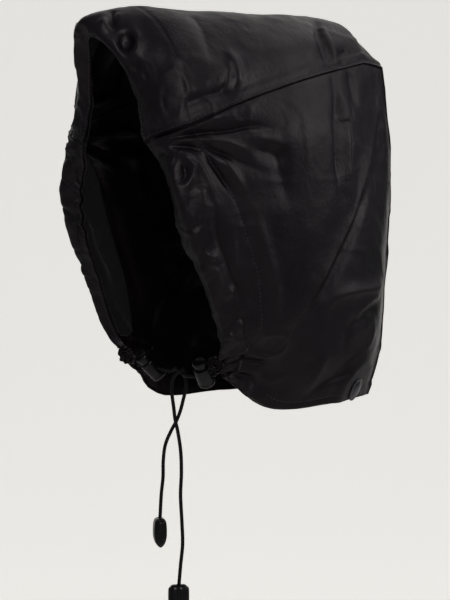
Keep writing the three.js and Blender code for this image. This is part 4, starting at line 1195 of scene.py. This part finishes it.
for sideName, route in (("left", leftRoute), ("right", rightRoute)):
    x, y, z = route[-1]
    centre = Vector((x, y, z - cordEndLook["length"] / 2 + cordEndLook["wall"] * 2)) * mm
    matrix = Matrix.Translation(centre) @ Matrix.Rotation(math.radians(cordEndTurns[sideName]), 4, "Z")
    for half, sign in (("a", 1), ("b", -1)):
        shell = cordEndShell("shell", cordEndLook, sign)
        hollowed(shell, cordEndLook, sign)
        keep(shell, matrix, f"cord_clamp_{sideName}_{half}")
print("cord ends modelled")


# Materials
def linear(code):
    channels = [int(code[k:k + 2], 16) / 255 for k in (0, 2, 4)]
    return [c / 12.92 if c <= 0.04045 else ((c + 0.055) / 1.055) ** 2.4 for c in channels] + [1]


def node(tree, kind, settings=None, inputs=None):
    # inputs maps a socket to a value or to another node's output
    made = tree.nodes.new(kind)
    for key, value in (settings or {}).items():
        setattr(made, key, value)
    for key, value in (inputs or {}).items():
        if isinstance(value, bpy.types.NodeSocket):
            tree.links.new(value, made.inputs[key])
        else:
            made.inputs[key].default_value = value
    return made


def newMaterial(name, surface):
    material = bpy.data.materials.new(name)
    material.use_nodes = True
    tree = material.node_tree
    tree.nodes.clear()
    shader = node(tree, "ShaderNodeBsdfPrincipled", None, surface)
    node(tree, "ShaderNodeOutputMaterial", None, {"Surface": shader.outputs[0]})
    return material, tree, shader


def weaveOf(tree, cut, thread, waver):
    # Threads both ways; the cut map is in units of 0.4 m
    bands = 0.4 / (thread * mm) * 2 * math.pi / 20
    warp, weft = (
        node(tree, "ShaderNodeTexWave", {"bands_direction": way}, {"Vector": cut, "Scale": bands, **waver})
        for way in "XY"
    )
    return node(tree, "ShaderNodeMath", {"operation": "MULTIPLY"}, {
        0: warp.outputs["Fac"], 1: weft.outputs["Fac"]}).outputs[0]


def feed(tree, shader, outputs):
    for key, output in outputs.items():
        tree.links.new(output, shader.inputs[key])


def waxedCotton():
    # Tightly woven cotton dressed with wax: near black, a low satin sheen, paler where the wax is rubbed off
    # raised folds, and darker in dents and creases as painted shade
    look = {"ground": "0f0b0f", "rubbed": "1e181d", "thread": 0.5, "roughness": (0.35, 0.5)}
    material, tree, shader = newMaterial("waxed cotton", {"IOR": 1.5, "Specular IOR Level": 0.38})
    place = node(tree, "ShaderNodeTexCoord").outputs["Object"]
    cut = node(tree, "ShaderNodeUVMap", {"uv_map": "cut"}).outputs[0]
    crest = node(tree, "ShaderNodeAttribute", {"attribute_name": "crest"})
    patches = node(tree, "ShaderNodeTexNoise", None, {
        "Vector": place, "Scale": 22, "Detail": 4, "Roughness": 0.6})
    mottle = node(tree, "ShaderNodeTexNoise", None, {
        "Vector": place, "Scale": 260, "Detail": 3, "Roughness": 0.6})
    # Tone from the fold height plus random patches: paler on raised folds as wax wear, darker in dents and
    # creases as painted shade
    wearAndShade = node(tree, "ShaderNodeMath", {"operation": "MULTIPLY_ADD"}, {
        0: crest.outputs["Fac"], 1: 1.1, 2: patches.outputs["Fac"]})
    tone = node(tree, "ShaderNodeMapRange", None, {
        "Value": wearAndShade.outputs[0], "From Min": 0.75, "From Max": 1.5, "To Min": 0, "To Max": 1})
    colour = node(tree, "ShaderNodeMix", {"data_type": "RGBA"}, {
        "Factor": tone.outputs[0], 6: linear(look["ground"]), 7: linear(look["rubbed"])})
    rough = node(tree, "ShaderNodeMapRange", None, {
        "Value": patches.outputs["Fac"], "From Min": 0.3, "From Max": 0.7,
        "To Min": look["roughness"][0], "To Max": look["roughness"][1]})
    weave = weaveOf(tree, cut, look["thread"], {"Distortion": 0.4, "Detail": 1})
    crinkle = node(tree, "ShaderNodeTexNoise", None, {
        "Vector": place, "Scale": 70, "Detail": 5, "Roughness": 0.55, "Distortion": 0.6})
    creases = node(tree, "ShaderNodeTexNoise", {"noise_type": "RIDGED_MULTIFRACTAL"}, {
        "Vector": place, "Scale": 24, "Detail": 2, "Roughness": 0.4, "Distortion": 0.4})
    relief = None
    for strength, distance, height in (
        (0.2, 0.0011, creases.outputs["Fac"]), (0.3, 0.002, crinkle.outputs["Fac"]),
        (0.45, 0.0004, mottle.outputs["Fac"]), (0.3, 0.0001, weave),
    ):
        under = {} if relief is None else {"Normal": relief}
        relief = node(tree, "ShaderNodeBump", None, {
            "Strength": strength, "Distance": distance, "Height": height, **under}).outputs[0]
    feed(tree, shader, {"Base Color": colour.outputs[2], "Roughness": rough.outputs[0], "Normal": relief})
    return material


def cottonInside():
    # The uncoated back of the cloth: matt and darker, the weave plain to see
    look = {"dark": "0d0d0e", "pale": "19181a", "thread": 0.6}
    material, tree, shader = newMaterial("cotton back", {
        "Roughness": 0.85, "IOR": 1.45, "Sheen Weight": 0.15, "Sheen Roughness": 0.5})
    cut = node(tree, "ShaderNodeUVMap", {"uv_map": "cut"}).outputs[0]
    place = node(tree, "ShaderNodeTexCoord").outputs["Object"]
    shade = node(tree, "ShaderNodeTexNoise", None, {"Vector": place, "Scale": 90, "Detail": 4})
    colour = node(tree, "ShaderNodeMix", {"data_type": "RGBA"}, {
        "Factor": shade.outputs["Fac"], 6: linear(look["dark"]), 7: linear(look["pale"])})
    weave = weaveOf(tree, cut, look["thread"], {})
    crinkle = node(tree, "ShaderNodeBump", None, {
        "Strength": 0.3, "Distance": 0.001, "Height": shade.outputs["Fac"]})
    woven = node(tree, "ShaderNodeBump", None, {
        "Strength": 0.4, "Distance": 0.00015, "Height": weave, "Normal": crinkle.outputs[0]})
    feed(tree, shader, {"Base Color": colour.outputs[2], "Normal": woven.outputs[0]})
    return material


def polyesterThread():
    # Core-spun thread, a little brighter than the cloth so that each stitch catches the light
    look = {"dark": "282529", "pale": "4c484e"}
    material, tree, shader = newMaterial("polyester thread", {"Roughness": 0.42, "IOR": 1.5})
    place = node(tree, "ShaderNodeTexCoord").outputs["Object"]
    ply = node(tree, "ShaderNodeTexNoise", None, {"Vector": place, "Scale": 900, "Detail": 2})
    colour = node(tree, "ShaderNodeMix", {"data_type": "RGBA"}, {
        "Factor": ply.outputs["Fac"], 6: linear(look["dark"]), 7: linear(look["pale"])})
    twist = node(tree, "ShaderNodeBump", None, {
        "Strength": 0.4, "Distance": 0.0001, "Height": ply.outputs["Fac"]})
    feed(tree, shader, {"Base Color": colour.outputs[2], "Normal": twist.outputs[0]})
    return material


def polyesterBraid():
    # Braided filament cord: dull sheen on the crowns of the strands, dark between them
    look = {"dark": "080809", "pale": "141315"}
    material, tree, shader = newMaterial("braided polyester", {
        "Roughness": 0.62, "IOR": 1.5, "Specular IOR Level": 0.35})
    cut = node(tree, "ShaderNodeUVMap", {"uv_map": "cut"}).outputs[0]
    place = node(tree, "ShaderNodeTexCoord").outputs["Object"]
    stretch = node(tree, "ShaderNodeMapping", None, {"Vector": cut, "Scale": (40, 1.2, 1)})
    fibre = node(tree, "ShaderNodeTexNoise", None, {"Vector": stretch.outputs[0], "Scale": 3, "Detail": 3})
    shade = node(tree, "ShaderNodeTexNoise", None, {"Vector": place, "Scale": 400, "Detail": 2})
    colour = node(tree, "ShaderNodeMix", {"data_type": "RGBA"}, {
        "Factor": shade.outputs["Fac"], 6: linear(look["dark"]), 7: linear(look["pale"])})
    strands = node(tree, "ShaderNodeBump", None, {
        "Strength": 0.4, "Distance": 0.0001, "Height": fibre.outputs["Fac"]})
    feed(tree, shader, {"Base Color": colour.outputs[2], "Normal": strands.outputs[0]})
    return material


def grainedSolid(name, surface, look):
    # A moulded or plated solid: cloudy colour and gloss over a fine grain
    material, tree, shader = newMaterial(name, surface)
    place = node(tree, "ShaderNodeTexCoord").outputs["Object"]
    grain = node(tree, "ShaderNodeTexNoise", None, {"Vector": place, "Scale": look["grain"], "Detail": 2})
    cloud = node(tree, "ShaderNodeTexNoise", None, {"Vector": place, "Scale": look["cloud"], "Detail": 3})
    colour = node(tree, "ShaderNodeMix", {"data_type": "RGBA"}, {
        "Factor": cloud.outputs["Fac"], 6: linear(look["dark"]), 7: linear(look["pale"])})
    rough = node(tree, "ShaderNodeMapRange", None, {
        "Value": cloud.outputs["Fac"], "From Min": 0.3, "From Max": 0.7,
        "To Min": look["roughness"][0], "To Max": look["roughness"][1]})
    skin = node(tree, "ShaderNodeBump", None, {
        "Strength": look["strength"], "Distance": look["depth"], "Height": grain.outputs["Fac"]})
    feed(tree, shader, {
        "Base Color": colour.outputs[2], "Roughness": rough.outputs[0], "Normal": skin.outputs[0]})
    return material


# Injection-moulded nylon with a fine spark-eroded grain: soft broad highlights
nylonLook = {
    "dark": "070708", "pale": "101011", "roughness": (0.26, 0.38), "grain": 1800, "cloud": 160,
    "strength": 0.25, "depth": 0.00005,
}
# Brass plated to gunmetal and lightly brushed
plateLook = {
    "dark": "505256", "pale": "7a7c80", "roughness": (0.26, 0.4), "grain": 2400, "cloud": 240,
    "strength": 0.2, "depth": 0.00003,
}
finishes = {
    "waxed_cotton": waxedCotton(), "cotton_inside": cottonInside(),
    "moulded_nylon": grainedSolid("moulded nylon", {"IOR": 1.53}, nylonLook),
    "braided_cord": polyesterBraid(), "gunmetal": grainedSolid("gunmetal plate", {"Metallic": 1}, plateLook),
    "thread": polyesterThread(),
}


def dress(piece, material, body="hood"):
    piece.data.materials.clear()
    piece.data.materials.append(material)
    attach(piece, body)


for name in ("left", "right"):
    panel = panels[f"side_{name}"]
    dress(panel, finishes["waxed_cotton"])
    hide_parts(f"side_panel_{name}")
dress(panels["crown"], finishes["waxed_cotton"])
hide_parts("crown_panel")
dress(facing, finishes["cotton_inside"])
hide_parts("face_facing")
for piece in stitches.values():
    dress(piece, finishes["thread"])
for name in ("left", "right"):
    dress(cords[name]["piece"], finishes["braided_cord"])
    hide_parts(f"cord_{name}")
    dress(hardware[f"lock_barrel_{name}"], finishes["moulded_nylon"])
    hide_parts(f"lock_body_{name}")
    dress(hardware[f"lock_plunger_{name}"], finishes["moulded_nylon"], f"button_{name}")
    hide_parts(f"lock_button_{name}")
    for half in ("a", "b"):
        dress(hardware[f"cord_clamp_{name}_{half}"], finishes["moulded_nylon"])
        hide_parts(f"cord_end_{name}_{half}")
    for kept, nodeName in (("press_stud_cap", "stud_cap"), ("press_stud_socket", "stud_socket")):
        dress(hardware[f"{kept}_{name}"], finishes["gunmetal"])
        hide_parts(f"{nodeName}_{name}")
print("pieces dressed")
# Floor and light: a pale floor and a lit sheet of paper behind
studio = {
    "paper": "ebeae6", "glow": 0.74, "world": "e6e6ea", "worldStrength": 0.12,
    "floorHeight": -1.25, "floorRadius": 3.6, "behind": 3.4, "sheet": (4.1, 4.4),
}


def addStage(look):
    bpy.ops.object.select_all(action="DESELECT")
    bpy.ops.mesh.primitive_circle_add(
        vertices=96, radius=look["floorRadius"], fill_type="NGON", location=(0, 0, look["floorHeight"]))
    floor = bpy.context.object
    floor.name = "studio_floor"
    azimuth = math.radians(cameraView["azimuth"])
    away = Vector((-math.sin(azimuth), math.cos(azimuth), 0)) * look["behind"]
    away.z = look["floorHeight"] + look["sheet"][1] / 2
    bpy.ops.mesh.primitive_plane_add(size=1, location=away, rotation=(math.pi / 2, 0, azimuth))
    sheet = bpy.context.object
    sheet.name = "studio_backdrop"
    sheet.scale = (*look["sheet"], 1)
    for piece, glow in ((floor, 0), (sheet, look["glow"])):
        material = newMaterial(f"seamless paper {glow:.1f}", {
            "Base Color": linear(look["paper"]), "Roughness": 0.95, "Emission Color": linear(look["paper"]),
            "Emission Strength": glow,
        })[0]
        piece.data.materials.append(material)


def addWorld(look):
    world = bpy.data.worlds.new("studio")
    bpy.context.scene.world = world
    world.use_nodes = True
    background = world.node_tree.nodes["Background"]
    background.inputs["Color"].default_value = linear(look["world"])
    background.inputs["Strength"].default_value = look["worldStrength"]


lamps = [
    {"name": "overhead", "at": (0.2, 1.3, 1.5), "size": 1.8, "power": 5},
    {"name": "rear", "at": (1.25, 1.6, 0.65), "size": 0.65, "power": 4.3},
    {"name": "side", "at": (1.75, -1.0, 0.9), "size": 0.55, "power": 9},
]


def addLamp(look):
    bpy.ops.object.light_add(type="AREA", location=look["at"])
    lamp = bpy.context.object
    lamp.name = look["name"]
    lamp.data.shape = "DISK"
    lamp.data.size = look["size"]
    lamp.data.energy = look["power"]
    lamp.data.color = linear("fff5fa")[:3]
    aim = Vector((0, 0.03, -0.2)) - Vector(look["at"])
    lamp.rotation_euler = aim.to_track_quat("-Z", "Y").to_euler()


addStage(studio)
addWorld(studio)
for look in lamps:
    addLamp(look)
bpy.context.scene.view_settings.view_transform = "Standard"
print("studio lit")
